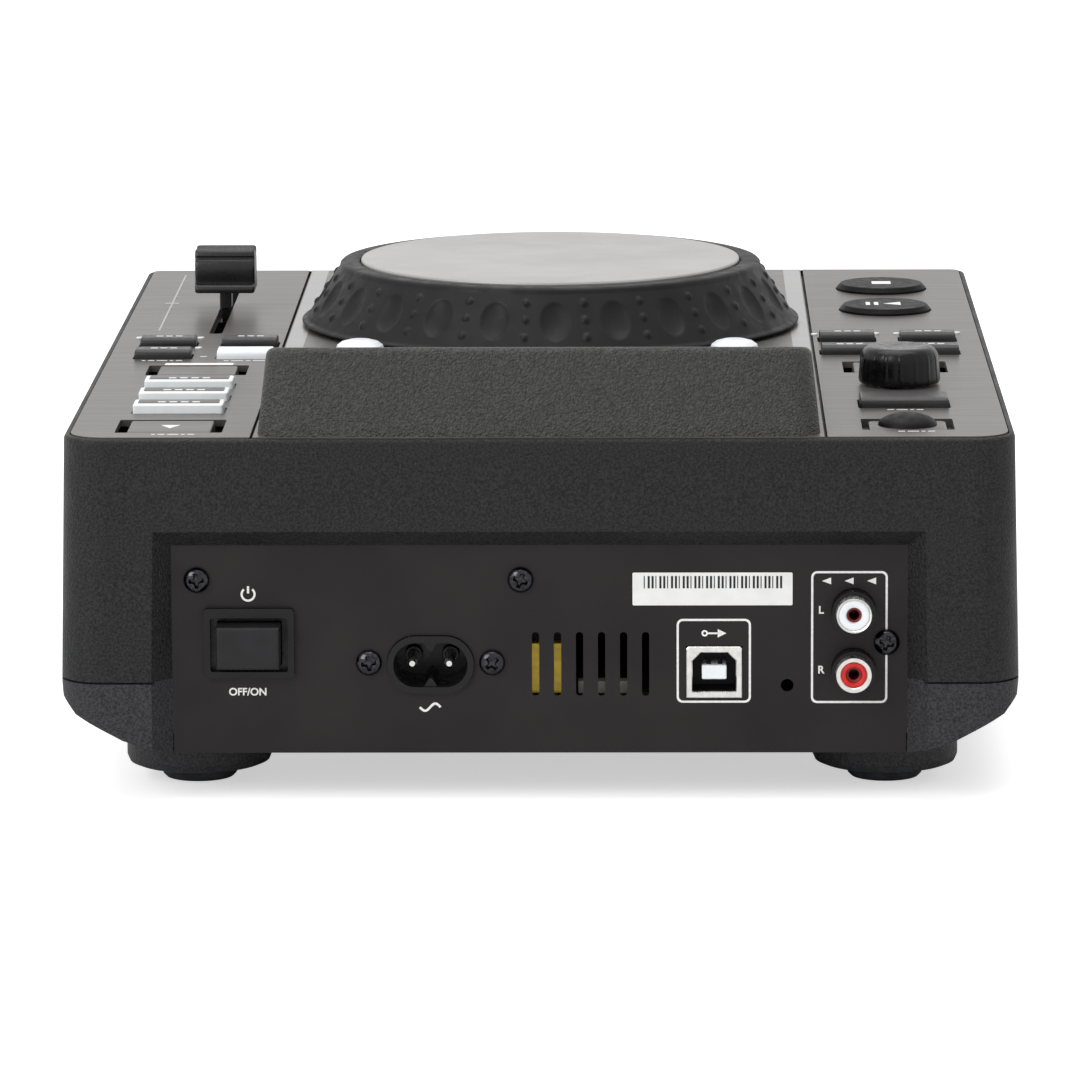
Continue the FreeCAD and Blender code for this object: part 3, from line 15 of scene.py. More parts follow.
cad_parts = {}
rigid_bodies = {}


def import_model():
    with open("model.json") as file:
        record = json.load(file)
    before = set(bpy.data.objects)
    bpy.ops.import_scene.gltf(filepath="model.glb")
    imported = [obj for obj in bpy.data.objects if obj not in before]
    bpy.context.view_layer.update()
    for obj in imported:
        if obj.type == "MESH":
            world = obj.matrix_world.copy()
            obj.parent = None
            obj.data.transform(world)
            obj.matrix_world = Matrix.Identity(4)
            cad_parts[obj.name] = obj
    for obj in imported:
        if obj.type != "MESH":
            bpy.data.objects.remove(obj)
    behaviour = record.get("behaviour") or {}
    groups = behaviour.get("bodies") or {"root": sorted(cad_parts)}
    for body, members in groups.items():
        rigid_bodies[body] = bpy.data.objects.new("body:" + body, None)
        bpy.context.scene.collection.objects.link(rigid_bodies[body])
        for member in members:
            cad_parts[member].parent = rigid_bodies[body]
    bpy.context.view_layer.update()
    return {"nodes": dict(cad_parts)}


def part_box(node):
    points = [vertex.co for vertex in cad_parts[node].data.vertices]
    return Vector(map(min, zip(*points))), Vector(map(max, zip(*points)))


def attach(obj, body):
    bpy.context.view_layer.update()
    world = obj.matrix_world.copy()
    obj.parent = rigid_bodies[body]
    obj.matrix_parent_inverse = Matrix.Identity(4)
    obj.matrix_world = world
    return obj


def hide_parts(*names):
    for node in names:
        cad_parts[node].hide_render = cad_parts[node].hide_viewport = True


for leftover in list(bpy.data.objects):
    bpy.data.objects.remove(leftover)

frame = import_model()
MM = 0.001
scene = bpy.context.scene

# %% [markdown]
# ## Levels that other pieces sit on
# A printed mark must lie on its plate and a key cap must end where its CAD cap ends. These
# heights could be typed in, but reading them from the CAD boxes keeps the two models together.

# %% Measure the plates
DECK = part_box("right_deck_plate")[1].z / MM
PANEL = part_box("rear_panel")[1].y / MM


def extent(node):
    """Lowest and highest corner of a CAD node in millimetres."""
    low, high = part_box(node)
    return low / MM, high / MM


print("deck top", round(DECK, 2), "and panel face", round(PANEL, 2))

# %% [markdown]
# ## Camera
# The view is from about 1.6 m behind the player with a long lens, ten degrees above the
# horizon. A tracked camera would need a target; here the angles are set directly, because
# they were solved from corners whose real places are known.

# %% Place the camera
CAMERA_AT = Vector((-0.02781, 1.70074, 0.34191))
PITCH, YAW, ROLL = (math.radians(a) for a in (10.157, 1.018, -0.247))
ahead = Vector((math.sin(YAW) * math.cos(PITCH), -math.cos(YAW) * math.cos(PITCH), -math.sin(PITCH)))
level_right = Vector((-math.cos(YAW), -math.sin(YAW), 0))
level_up = level_right.cross(ahead)
right = level_right * math.cos(ROLL) + level_up * math.sin(ROLL)
up = level_up * math.cos(ROLL) - level_right * math.sin(ROLL)

lens = bpy.data.cameras.new("long_lens")
lens.sensor_width = 36
lens.lens = 229.68
lens.clip_start, lens.clip_end = 0.05, 30
camera = bpy.data.objects.new("camera", lens)
camera.matrix_world = Matrix.Translation(CAMERA_AT) @ Matrix((right, up, -ahead)).transposed().to_4x4()
scene.collection.objects.link(camera)
scene.camera = camera
print("camera is", round((CAMERA_AT - Vector((0, 0.137, 0.04))).length, 3), "m from the rear panel")

# %% [markdown]
# ## Studio: floor, sky and soft lamps
# A product shot on white has light from everywhere and hardly a shadow. One way is a tent of
# emitting cards; a plain bright world with two large soft lamps does the same with less noise.
# Reflections and the lens see a world of strength 1, so gloss picks up white, while the light on
# matt surfaces stays at a plain level.

# %% Light the studio
SKY_LIGHT = 0.6
FLOOR_GLOW = 0.55

scene.view_settings.view_transform = "Standard"
world = bpy.data.worlds.new("studio")
scene.world = world
world.use_nodes = True
sky = world.node_tree
backdrop = sky.nodes["Background"]
backdrop.inputs["Color"].default_value = (1, 1, 1, 1)
path = sky.nodes.new("ShaderNodeLightPath")
seen = sky.nodes.new("ShaderNodeMath")
seen.operation = "MAXIMUM"
sky.links.new(path.outputs["Is Camera Ray"], seen.inputs[0])
sky.links.new(path.outputs["Is Glossy Ray"], seen.inputs[1])
either = sky.nodes.new("ShaderNodeMath")
either.operation = "MAXIMUM"
sky.links.new(seen.outputs[0], either.inputs[0])
sky.links.new(path.outputs["Is Transmission Ray"], either.inputs[1])
level = sky.nodes.new("ShaderNodeMapRange")
level.inputs["To Min"].default_value = SKY_LIGHT
level.inputs["To Max"].default_value = 1.0
sky.links.new(either.outputs[0], level.inputs["Value"])
sky.links.new(level.outputs["Result"], backdrop.inputs["Strength"])


def soft_lamp(name, place, aim, wide, tall, watts):
    """A large area lamp that looks at a point of the object."""
    lamp = bpy.data.lights.new(name, "AREA")
    lamp.shape = "RECTANGLE"
    lamp.size, lamp.size_y, lamp.energy = wide, tall, watts
    stand = bpy.data.objects.new(name, lamp)
    stand.location = place
    stand.rotation_euler = (Vector(aim) - Vector(place)).to_track_quat("-Z", "Y").to_euler()
    scene.collection.objects.link(stand)
    print(name, round(watts / (math.pi * wide * tall), 2), "radiance")


soft_lamp("overhead_box", (0.1, -0.1, 1.9), (0, 0, 0.08), 1.8, 1.8, 22)
soft_lamp("rear_fill", (1.3, 1.5, 1.2), (0, 0.1, 0.05), 1.1, 1.1, 20)

# %% [markdown]
# ## Pale floor
# The floor is a plain disc. Painted white alone it would render grey at the edges, so a faint
# glow that only the lens sees lifts it to white and leaves the soft contact shadow in place.

# %% Lay the floor
ground = bpy.data.meshes.new("floor")
shape = bmesh.new()
bmesh.ops.create_circle(shape, cap_ends=True, segments=96, radius=6)
shape.to_mesh(ground)
shape.free()
floor = bpy.data.objects.new("floor", ground)
floor.location.z = -0.0002
scene.collection.objects.link(floor)
paper = bpy.data.materials.new("floor_paper")
paper.use_nodes = True
sheet = paper.node_tree
matt = sheet.nodes["Principled BSDF"]
matt.inputs["Base Color"].default_value = (0.9, 0.9, 0.9, 1)
matt.inputs["Roughness"].default_value = 0.9
matt.inputs["Specular IOR Level"].default_value = 0.1
lens_ray = sheet.nodes.new("ShaderNodeLightPath")
glow = sheet.nodes.new("ShaderNodeMapRange")
glow.inputs["To Max"].default_value = FLOOR_GLOW
sheet.links.new(lens_ray.outputs["Is Camera Ray"], glow.inputs["Value"])
sheet.links.new(glow.outputs["Result"], matt.inputs["Emission Strength"])
matt.inputs["Emission Color"].default_value = (1, 1, 1, 1)
ground.materials.append(paper)
print("floor radius 6 m, glow", FLOOR_GLOW)

# %% [markdown]
# ## How a finish is built up
# Each finish is one Principled shader with three layers of its own: a colour that drifts a
# little, a roughness that drifts with handling, and relief at the true scale of the grain.
# Scanned surfaces would be quicker, but noise and cell patterns stay sharp at any distance.

# %% A small workshop for finishes
CLOUD_RANGE = (0.35, 0.65)
CELL_EDGE = 0.7


def paint(red, green, blue):
    """A colour as read off a screen, 0 to 255, in the linear values that shaders use."""
    def straight(value):
        value /= 255
        return value / 12.92 if value <= 0.04045 else ((value + 0.055) / 1.055) ** 2.4
    return straight(red), straight(green), straight(blue), 1.0


class Finish:
    """A material whose layers are added one call at a time."""

    def __init__(self, name, colour, rough, specular=0.5, metallic=0.0):
        self.material = bpy.data.materials.new(name)
        self.material.use_nodes = True
        self.tree = self.material.node_tree
        self.shader = self.tree.nodes["Principled BSDF"]
        self.colour, self.rough = colour, rough
        self.set("Base Color", colour)
        self.set("Roughness", rough)
        self.set("Specular IOR Level", specular)
        self.set("Metallic", metallic)
        self.place = self.tree.nodes.new("ShaderNodeTexCoord").outputs["Object"]
        self.skin = None

    def set(self, socket, value):
        self.shader.inputs[socket].default_value = value
        return self

    def link(self, source, target):
        self.tree.links.new(source, target)

    def stretched(self, across):
        """Coordinates counted in grains, with a grain size in millimetres for each axis."""
        across = across if isinstance(across, tuple) else (across,) * 3
        mapping = self.tree.nodes.new("ShaderNodeMapping")
        mapping.inputs["Scale"].default_value = [1 / (size * MM) for size in across]
        self.link(self.place, mapping.inputs["Vector"])
        return mapping.outputs["Vector"]

    def cloud(self, across, detail=2.0):
        """Soft noise, spread out to run from 0 to 1; one grain size serves all three axes."""
        noise = self.tree.nodes.new("ShaderNodeTexNoise")
        noise.inputs["Scale"].default_value = 1.0
        noise.inputs["Detail"].default_value = detail
        self.link(self.stretched(across), noise.inputs["Vector"])
        return self.ramped(noise.outputs["Fac"], *CLOUD_RANGE)

    def cells(self, size):
        """Pebble-like cells for moulded leather grain."""
        voronoi = self.tree.nodes.new("ShaderNodeTexVoronoi")
        voronoi.feature = "SMOOTH_F1"
        voronoi.inputs["Scale"].default_value = 1.0
        voronoi.inputs["Smoothness"].default_value = 0.35
        self.link(self.stretched(size), voronoi.inputs["Vector"])
        return self.ramped(voronoi.outputs["Distance"], CELL_EDGE, 0.0)

    def ramped(self, value, low, high, start=0.0, end=1.0):
        spread = self.tree.nodes.new("ShaderNodeMapRange")
        for socket, number in (("From Min", low), ("From Max", high), ("To Min", start), ("To Max", end)):
            spread.inputs[socket].default_value = number
        self.link(value, spread.inputs["Value"])
        return spread.outputs["Result"]

    def tint(self, pattern, dark, light):
        """The colour drifts between two multiples of itself."""
        mix = self.tree.nodes.new("ShaderNodeMix")
        mix.data_type = "RGBA"
        for slot_name, share in (("A", dark), ("B", light)):
            colour_end = next(s for s in mix.inputs if s.name == slot_name and s.type == "RGBA")
            colour_end.default_value = tuple(c * share for c in self.colour[:3]) + (1,)
        self.link(pattern, mix.inputs[0])
        self.link(next(s for s in mix.outputs if s.type == "RGBA"), self.shader.inputs["Base Color"])
        return self

    def handle(self, pattern, swing):
        """Roughness drifts up and down by the swing."""
        self.link(self.ramped(pattern, 0, 1, self.rough - swing, self.rough + swing),
                  self.shader.inputs["Roughness"])
        return self

    def relief(self, pattern, depth):
        """Adds bump whose full height is the depth in millimetres."""
        bump = self.tree.nodes.new("ShaderNodeBump")
        bump.inputs["Distance"].default_value = depth * MM
        bump.inputs["Strength"].default_value = 1.0
        self.link(pattern, bump.inputs["Height"])
        if self.skin:
            self.link(self.skin, bump.inputs["Normal"])
        self.skin = bump.outputs["Normal"]
        self.link(self.skin, self.shader.inputs["Normal"])
        return self


finishes = {}


def finish(name, *args, **options):
    """Starts a finish and files it by name."""
    finishes[name] = Finish(name, *args, **options)
    return finishes[name]


def layered(name, colour, rough, specular, tint, handle, relief, metallic=0.0):
    """A finish of plain noise.

    The tint is grain, detail, dark, light; handling is grain, detail, swing; relief is grain,
    detail, depth. Relief with no detail is made of cells.
    """
    made = finish(name, colour, rough, specular=specular, metallic=metallic)
    grain, detail, dark, light = tint
    made.tint(made.cloud(grain, detail), dark, light)
    if handle:
        grain, detail, swing = handle
        made.handle(made.cloud(grain, detail), swing)
    grain, detail, depth = relief
    made.relief(made.cloud(grain, detail) if detail else made.cells(grain), depth)
    return made


print("workshop ready")

# %% [markdown]
# ## Case plastics
# The two shells are black moulded plastic with a fine spark-eroded texture, and the display
# housing has a coarser leather grain. Real grain could be displaced geometry, but at well under
# a millimetre relief in the shader is enough and stays light.

# %% Mould the case plastics
def moulded(name, colour, low_tint, high_tint, grain_depth):
    """Black plastic with fine speckled grain, a slow wave from moulding and traces of handling."""
    made = finish(name, colour, 0.5, specular=0.22)
    made.tint(made.cloud(0.5, 3), low_tint, high_tint)
    made.handle(made.cloud(18), 0.06)
    made.relief(made.cloud(34, 1), 0.05).relief(made.cells(0.62), grain_depth)


moulded("case_plastic", paint(28, 28, 29), 0.35, 1.9, 0.12)
moulded("lower_plastic", paint(46, 46, 48), 0.5, 1.6, 0.12)

housing = finish("housing_plastic", paint(47, 47, 46), 0.38, specular=0.36)
# The speckled tint is partly the grain's own tone and partly painted highlight: light flecks where the grain
# catches the lamps.
housing.tint(housing.cloud(0.75, 3), 0.6, 1.45)
housing.handle(housing.cloud(14), 0.05)
housing.relief(housing.cells(0.58), 0.26).relief(housing.cloud(0.45, 3), 0.09)

layered("socket_plastic", paint(13, 13, 14), 0.3, 0.28, (6, 2, 0.85, 1.2), (3, 3, 0.06), (0.5, 2, 0.008))
layered("switch_plastic", paint(29, 29, 31), 0.42, 0.26, (5, 2, 0.85, 1.15), (2.5, 3, 0.05), (0.4, 0, 0.012))
print("case finishes:", sorted(finishes))

# %% [markdown]
# ## Brushed deck plates
# The plates are dark, with fine brush lines that run across the player. Seen almost edge-on they
# mirror the white room and look mid grey. A painted grey would be wrong from above, so the base
# stays dark and the gloss does the work.

# %% Brush the plates
PLATE_PAINTS = (("deck_panel", paint(75, 71, 68), 0.34), ("centre_panel", paint(76, 72, 69), 0.33))
for plate_name, base, sheen in PLATE_PAINTS:
    plate = finish(plate_name, base, sheen, specular=0.68)
    plate.tint(plate.cloud((22, 0.16, 8), 2), 0.75, 1.22)
    plate.handle(plate.cloud((34, 0.4, 8), 2), 0.04)
    plate.relief(plate.cloud((30, 0.2, 8), 1), 0.003)

sheet_metal = finish("panel_metal", paint(34, 30, 31), 0.44, specular=0.2)
sheet_metal.tint(sheet_metal.cloud(22), 0.85, 1.18)
sheet_metal.handle(sheet_metal.cloud(9, 3), 0.07)
sheet_metal.relief(sheet_metal.cloud(0.7, 2), 0.012)
sheet_metal.relief(sheet_metal.cloud(40, 1), 0.08)
print("plates brushed")

# %% [markdown]
# ## Metals
# Screws are blackened steel, the socket shells are tinned or nickelled, and the drive parts are
# bare steel. Each gets its own scratches, because clean chrome looks like a drawing.

# %% Finish the metals
layered("screw_metal", paint(60, 60, 64), 0.17, 0.5, (0.8, 3, 0.6, 1.2), (0.9, 3, 0.06), (1.1, 2, 0.02), 1.0)
layered("bright_metal", paint(222, 221, 217), 0.3, 0.5, (1.5, 3, 0.88, 1.04), ((0.5, 3, 3), 3, 0.06),
        ((0.4, 2, 2), 2, 0.001), 1.0)
layered("steel", paint(160, 160, 162), 0.36, 0.5, (5, 3, 0.8, 1.08), (2, 3, 0.1),
        ((0.3, 6, 0.3), 2, 0.004), 1.0)
layered("jog_disc", paint(166, 165, 163), 0.42, 0.5, ((55, 30, 20), 2, 0.93, 1.05), (12, 3, 0.05),
        (0.3, 2, 0.004), 0.25)
print("metals finished")

# %% [markdown]
# ## Rubber, keys and small parts
# Touch parts differ more in gloss than in colour: the wheel is satin rubber, the knob glossier,
# the keys semi-gloss with a trace of orange peel, and the feet dull.

# %% Finish the touch parts
layered("jog_rubber", paint(21, 21, 23), 0.5, 0.2, (7, 3, 0.82, 1.2), (4, 3, 0.08), (0.35, 2, 0.014))
layered("soft_rubber", paint(54, 55, 59), 0.62, 0.25, (3, 3, 0.8, 1.2), (2, 2, 0.08), (0.5, 0, 0.03))
layered("case_rubber", paint(14, 14, 15), 0.5, 0.14, (3, 3, 0.8, 1.2), (2, 2, 0.08), (0.4, 0, 0.02))
layered("knob_rubber", paint(8, 8, 9), 0.26, 0.26, (3, 2, 0.8, 1.25), (1.5, 3, 0.06), (0.4, 2, 0.008))
layered("fader_plastic", paint(24, 24, 26), 0.3, 0.36, (4, 2, 0.85, 1.2), (1, 3, 0.05), (0.4, 2, 0.008))
layered("black_key", paint(17, 17, 18), 0.34, 0.42, (5, 2, 0.85, 1.2), (2, 3, 0.06), (0.45, 2, 0.008))
layered("round_key", paint(13, 13, 14), 0.45, 0.09, (5, 2, 0.85, 1.2), (2, 3, 0.06), (0.45, 2, 0.008))
for key_name, base in (("white_key", paint(238, 243, 245)), ("white_button", paint(236, 239, 242))):
    white = layered(key_name, base, 0.34, 0.4, (6, 2, 0.96, 1.02), (2, 3, 0.06), (0.6, 2, 0.006))
    white.set("Subsurface Weight", 0.06).set("Subsurface Scale", 0.001)
print("touch parts finished:", len(finishes), "finishes so far")

# %% [markdown]
# ## Electrics, glass and ink
# Behind the vents sit a taped transformer and green boards, and the screen has a smoked window.
# Printed marks are a thin layer of white ink, so they get their own slightly rough finish.

# %% Finish the electrics, glass and inks
layered("transformer_tape", paint(252, 214, 62), 0.4, 0.4, ((9, 9, 2.4), 2, 0.85, 1.1), None,
        ((12, 12, 1.2), 2, 0.03))
layered("circuit", paint(24, 62, 40), 0.38, 0.5, (3, 3, 0.6, 1.3), None, (1.2, 2, 0.03))
layered("bearing_plastic", paint(198, 196, 186), 0.42, 0.4, (5, 2, 0.9, 1.05), None, (0.6, 2, 0.01))
layered("white_ink", paint(236, 236, 234), 0.55, 0.3, (0.7, 3, 0.9, 1.04), None, (0.3, 2, 0.004))
layered("scale_ink", paint(176, 174, 172), 0.5, 0.4, (0.7, 3, 0.85, 1.05), None, (0.3, 2, 0.004))
layered("label_paper", paint(234, 234, 233), 0.45, 0.4, (4, 3, 0.96, 1.02), None, (0.8, 2, 0.008))
layered("black_ink", paint(26, 26, 27), 0.5, 0.3, (0.6, 3, 0.8, 1.3), None, (0.3, 2, 0.004))
layered("silver_foil", paint(168, 167, 167), 0.32, 0.5, ((26, 0.25, 8), 2, 0.86, 1.05), None,
        ((30, 0.25, 8), 1, 0.004), 0.75)
layered("red_plastic", paint(196, 26, 20), 0.34, 0.45, (2, 2, 0.85, 1.12), None, (0.4, 2, 0.008))
# red_bore is the insulator's red darkened by painted shade, for the inside of the phono bores.
layered("red_bore", paint(112, 14, 12), 0.4, 0.4, (1, 2, 0.6, 1.2), None, (0.4, 2, 0.01))
layered("core_black", paint(20, 18, 17), 0.5, 0.3, (2, 2, 0.7, 1.3), None, (0.6, 2, 0.03))
# dark_bore is painted shade: a near-black for the inside of the data socket's mouth.
layered("dark_bore", paint(14, 12, 12), 0.5, 0.3, (1, 2, 0.7, 1.4), None, (0.4, 2, 0.01))

glass = finish("window", paint(150, 154, 160), 0.06, specular=0.5)
glass.set("Transmission Weight", 1.0).set("IOR", 1.45)
glass.handle(glass.cloud(8, 3), 0.02).relief(glass.cloud(30, 1), 0.01)
print(len(finishes), "finishes in all")

# %% [markdown]
# ## Dress the CAD nodes
# The frame's meshes carry a material slot named after the finish they were planned with. Giving
# that slot the finish of the same name dresses all sixty nodes. Four then get a finish of their
# own, and later cells replace the nodes whose shape needs more than CAD gives.

# %% Give every CAD node its finish
for node_name, node in frame["nodes"].items():
    for holder in node.material_slots:
        holder.material = finishes[holder.material.name.split(".")[0]].material
DRESSED_OTHERWISE = {"bottom_shell": "lower_plastic", "foot_cups": "lower_plastic",
                     "play_button": "round_key", "cue_button": "round_key"}
for node_name, finish_name in DRESSED_OTHERWISE.items():
    for holder in frame["nodes"][node_name].material_slots:
        holder.material = finishes[finish_name].material
print("dressed", len(frame["nodes"]), "nodes")

# %% [markdown]
# ## Mesh helpers
# Most small parts are either rings stacked into a skin or outlines pressed onto a plate. Two
# helpers make those, and a third turns the result into a piece that rides on its CAD body.

# %% Helpers for rings, skins and pieces
def skin(rings, closed_ends=True, bm=None):
    """Joins rings of equal length, given in millimetres, into one surface."""
    bm = bm or bmesh.new()
    rows = [[bm.verts.new(point) for point in ring] for ring in rings]
    for lower, upper in zip(rows, rows[1:]):
        for i in range(len(lower)):
            j = (i + 1) % len(lower)
            bm.faces.new((lower[i], lower[j], upper[j], upper[i]))
    if closed_ends:
        bm.faces.new(list(reversed(rows[0])))
        bm.faces.new(rows[-1])
    return bm


def round_rect(x0, x1, y0, y1, corner, steps=6):
    """Outline of a rectangle with round corners, counter-clockwise."""
    corner = max(min(corner, (x1 - x0) / 2 - 1e-4, (y1 - y0) / 2 - 1e-4), 1e-3)
    points = []
    for cx, cy, start in ((x1 - corner, y1 - corner, 0), (x0 + corner, y1 - corner, 90),
                          (x0 + corner, y0 + corner, 180), (x1 - corner, y0 + corner, 270)):
        for step in range(steps + 1):
            angle = math.radians(start + 90 * step / steps)
            points.append((cx + corner * math.cos(angle), cy + corner * math.sin(angle)))
    return points


def circle(x, y, radius, steps=48):
    turns = (2 * math.pi * i / steps for i in range(steps))
    return [(x + radius * math.cos(a), y + radius * math.sin(a)) for a in turns]


def stacked(edges, corner, steps, bm=None):
    """A block with the edges x0, x1, y0, y1 from steps of (inset, height)."""
    x0, x1, y0, y1 = edges
    return skin([[(px, py, z) for px, py in round_rect(x0 + i, x1 - i, y0 + i, y1 - i, corner)]
                 for i, z in steps], bm=bm)


def middle(low, high):
    return (low + high) / 2


def piece(name, bm, finish_name, body, replaced=(), sharp=32):
    """Makes an object in metres from a mesh in millimetres, dressed and riding on its body."""
    bmesh.ops.recalc_face_normals(bm, faces=bm.faces)
    mesh = bpy.data.meshes.new(name)
    bm.to_mesh(mesh)
    bm.free()
    mesh.transform(Matrix.Scale(MM, 4))
    mesh.materials.append(finishes[finish_name].material)
    mesh.shade_smooth()
    mesh.set_sharp_from_angle(angle=math.radians(sharp))
    made = bpy.data.objects.new(name, mesh)
    scene.collection.objects.link(made)
    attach(made, body)
    if replaced:
        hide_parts(*replaced)
    return made


print("helpers ready")

# %% [markdown]
# ## The jog wheel
# Its side is a cone of rubber with tall oval finger dimples, and between them columns of three
# small bumps. A sculpt or a boolean of ellipsoids would work, but the wheel is a surface of
# revolution, so each point of a fine grid is simply moved along the cone's normal by a formula.

# %% Turn the jog wheel and press its dimples
WHEEL_Y = -43.0
DIMPLES = 24
PHASE = math.radians(90 + 2.1)
rim_low, rim_high = extent("jog_wheel")
wheel_foot, wheel_rim = rim_low.z, rim_high.z
CONE_TOP = Vector((53.75, wheel_rim - 1.3))
CONE_FOOT = Vector((62.2, wheel_foot + 1.3))
slant = (CONE_FOOT - CONE_TOP).length
outward = Vector((-(CONE_FOOT - CONE_TOP).y, (CONE_FOOT - CONE_TOP).x)) / slant


DIMPLE_HALF_WIDE, DIMPLE_HALF_TALL, DIMPLE_DEEP = 3.7, 5.3, 1.0
BUMP_HALF, BUMP_HALF_TALL, BUMP_RISE = 0.95, 1.05, 0.55


def dimple_depth(angle, down):
    """Signed push in mm at an angle round the wheel and a distance down the cone."""
    pitch = 2 * math.pi / DIMPLES
    local = (angle - PHASE + pitch / 2) % pitch - pitch / 2
    radius = CONE_TOP.x + (CONE_FOOT.x - CONE_TOP.x) * down / slant
    across = local * radius
    push = 0.0
    q = (across / DIMPLE_HALF_WIDE) ** 2 + ((down - slant * 0.5) / DIMPLE_HALF_TALL) ** 2
    if q < 1:
        push -= DIMPLE_DEEP * (1 - q) ** 0.75
    between = (abs(local) - pitch / 2) * radius
    for share in (0.17, 0.47, 0.78):
        b = (between / BUMP_HALF) ** 2 + ((down - slant * share) / BUMP_HALF_TALL) ** 2
        if b < 1:
            push += BUMP_RISE * (1 - b) ** 0.5
    return push


ROUND_STEPS, SIDE_STEPS = DIMPLES * 40, 44
over_rim = [(19.0, wheel_foot)]
over_rim += [(radius, wheel_rim - drop) for radius, drop in
             ((19.0, 0.7), (48.5, 0.7), (48.6, 0.3), (48.95, 0.0), (52.4, 0.0), (53.2, 0.15), (53.65, 0.6))]
side = [tuple(CONE_TOP.lerp(CONE_FOOT, i / SIDE_STEPS)) for i in range(SIDE_STEPS + 1)]
skirt = [(radius, wheel_foot + rise) for radius, rise in
         ((62.7, 1.05), (63.3, 0.85), (63.5, 0.6), (63.45, 0.3), (63.1, 0.0))]
rings = []
for index, (radius, height) in enumerate(over_rim + side + skirt):
    step = index - len(over_rim)
    ring = []
    for turn in range(ROUND_STEPS):
        angle = 2 * math.pi * turn / ROUND_STEPS
        push = dimple_depth(angle, slant * step / SIDE_STEPS) if 0 < step < SIDE_STEPS else 0.0
        r, z = radius + outward.x * push, height + outward.y * push
        ring.append((r * math.cos(angle), WHEEL_Y + r * math.sin(angle), z))
    rings.append(ring)
wheel = skin(rings, closed_ends=False)
wheel.verts.ensure_lookup_table()
last = len(wheel.verts) - ROUND_STEPS
for turn in range(ROUND_STEPS):
    following = (turn + 1) % ROUND_STEPS
    wheel.faces.new((wheel.verts[last + turn], wheel.verts[last + following],
                     wheel.verts[following], wheel.verts[turn]))
wheel_piece = piece("jog_wheel_grip", wheel, "jog_rubber", "jog", ["jog_wheel"], sharp=50)
print("wheel:", len(wheel_piece.data.vertices), "points,", DIMPLES, "dimples")

# %% [markdown]
# ## The wheel's light disc
# A pale disc with a soft satin face fills the top of the wheel. Concentric turned rings, almost
# too fine to see, catch the light differently round the circle; they are real steps in the lathe
# profile here, one hundredth of a millimetre deep, with a rounded edge.

# %% Turn the disc
disc_low, disc_high = extent("jog_disc")
disc_top = disc_high.z
disc_profile = [(47.9, disc_low.z), (48.25, disc_low.z + 0.2), (48.3, disc_top - 0.5),
                (48.1, disc_top - 0.12), (47.7, disc_top)]
disc_profile += [(47.2 - 1.2 * i, disc_top - (0.01 if i % 2 else 0.0)) for i in range(38)]
disc = skin([[(x, y, z) for x, y in circle(0, WHEEL_Y, r, 192)] for r, z in disc_profile])
piece("jog_disc_face", disc, "jog_disc", "jog", ["jog_disc"])
print("disc top at", round(disc_top, 2), "mm")

# %% [markdown]
# ## Key caps
# A moulded key has a drafted side, a rounded top edge and a slightly crowned or barrelled top.
# Bevelling a box gives only the first two, so each cap is a stack of shrinking outlines whose
# heights follow a quarter circle.

# %% Mould a soft-edged key cap
CAP_FOOT = DECK - 2.2
FLAT_SHARE = 0.97


def cap(x, y, wide, deep, top, corner=0.6, edge=0.5, draft=0.12, barrel=0.0):
    """A key cap from below the plate to its top; barrel lets the long edges fall away."""
    rings = [[(px, py, CAP_FOOT) for px, py in
              round_rect(x - wide / 2, x + wide / 2, y - deep / 2, y + deep / 2, corner)]]
    steps = 7
    for step in range(steps + 1):
        turn = math.radians(90 * step / steps)
        inset = draft + edge * (1 - math.cos(turn))
        deep_inset = draft + max(edge, barrel) * (1 - math.cos(turn))
        height = top - max(edge, barrel) * (1 - math.sin(turn))
        rings.append([(px, py, height) for px, py in
                      round_rect(x - wide / 2 + inset, x + wide / 2 - inset, y - deep / 2 + deep_inset,
                                 y + deep / 2 - deep_inset, max(corner - inset, 0.1))])
    rings.append([(x + (px - x) * FLAT_SHARE, y + (py - y) * FLAT_SHARE, top) for px, py, _ in rings[-1]])
    return skin(rings)


def key_middle(node):
    low, high = extent(node)
    return middle(low.x, high.x), middle(low.y, high.y), high.x - low.x, high.z


print("cap foot at", round(CAP_FOOT, 2))

# %% [markdown]
# ## White keys with a dark strip
# The three keys next to the eject key are white with a dark inlay along the top. The inlay is its
# own thin piece pressed into the cap, because a painted stripe would have no edge to catch light.

# %% Make the white keys
WHITE_DEPTH, STRIP_DEPTH, STRIP_MARGIN, STRIP_SHIFT = 8.4, 5.4, 1.2, 0.5
WHITE_KEYS = {"white_key_rear": 100.2, "white_key_middle": 81.7, "white_key_front": 63.3}
for node_name, middle_y in WHITE_KEYS.items():
    mx, _, wide, top = key_middle(node_name)
    piece(node_name + "_cap", cap(mx, middle_y, wide, WHITE_DEPTH, top - 0.12, corner=0.9, edge=0.45),
          "white_key", node_name, [node_name])
    half_wide, half_deep, strip_y = wide / 2 - STRIP_MARGIN, STRIP_DEPTH / 2, middle_y - STRIP_SHIFT
    strip = stacked((mx - half_wide, mx + half_wide, strip_y - half_deep, strip_y + half_deep), 0.5,
                    ((0.0, top - 0.6), (0.0, top - 0.06), (0.12, top)))
    piece(node_name + "_strip", strip, "deck_panel", node_name)
print("three white keys, strip", STRIP_DEPTH, "mm deep")

# %% [markdown]
# ## Barrel-topped keys
# The small keys in pairs and the long one by the knob have a top like the side of a barrel, dark
# in front and grey where it mirrors the room. One of them is white.

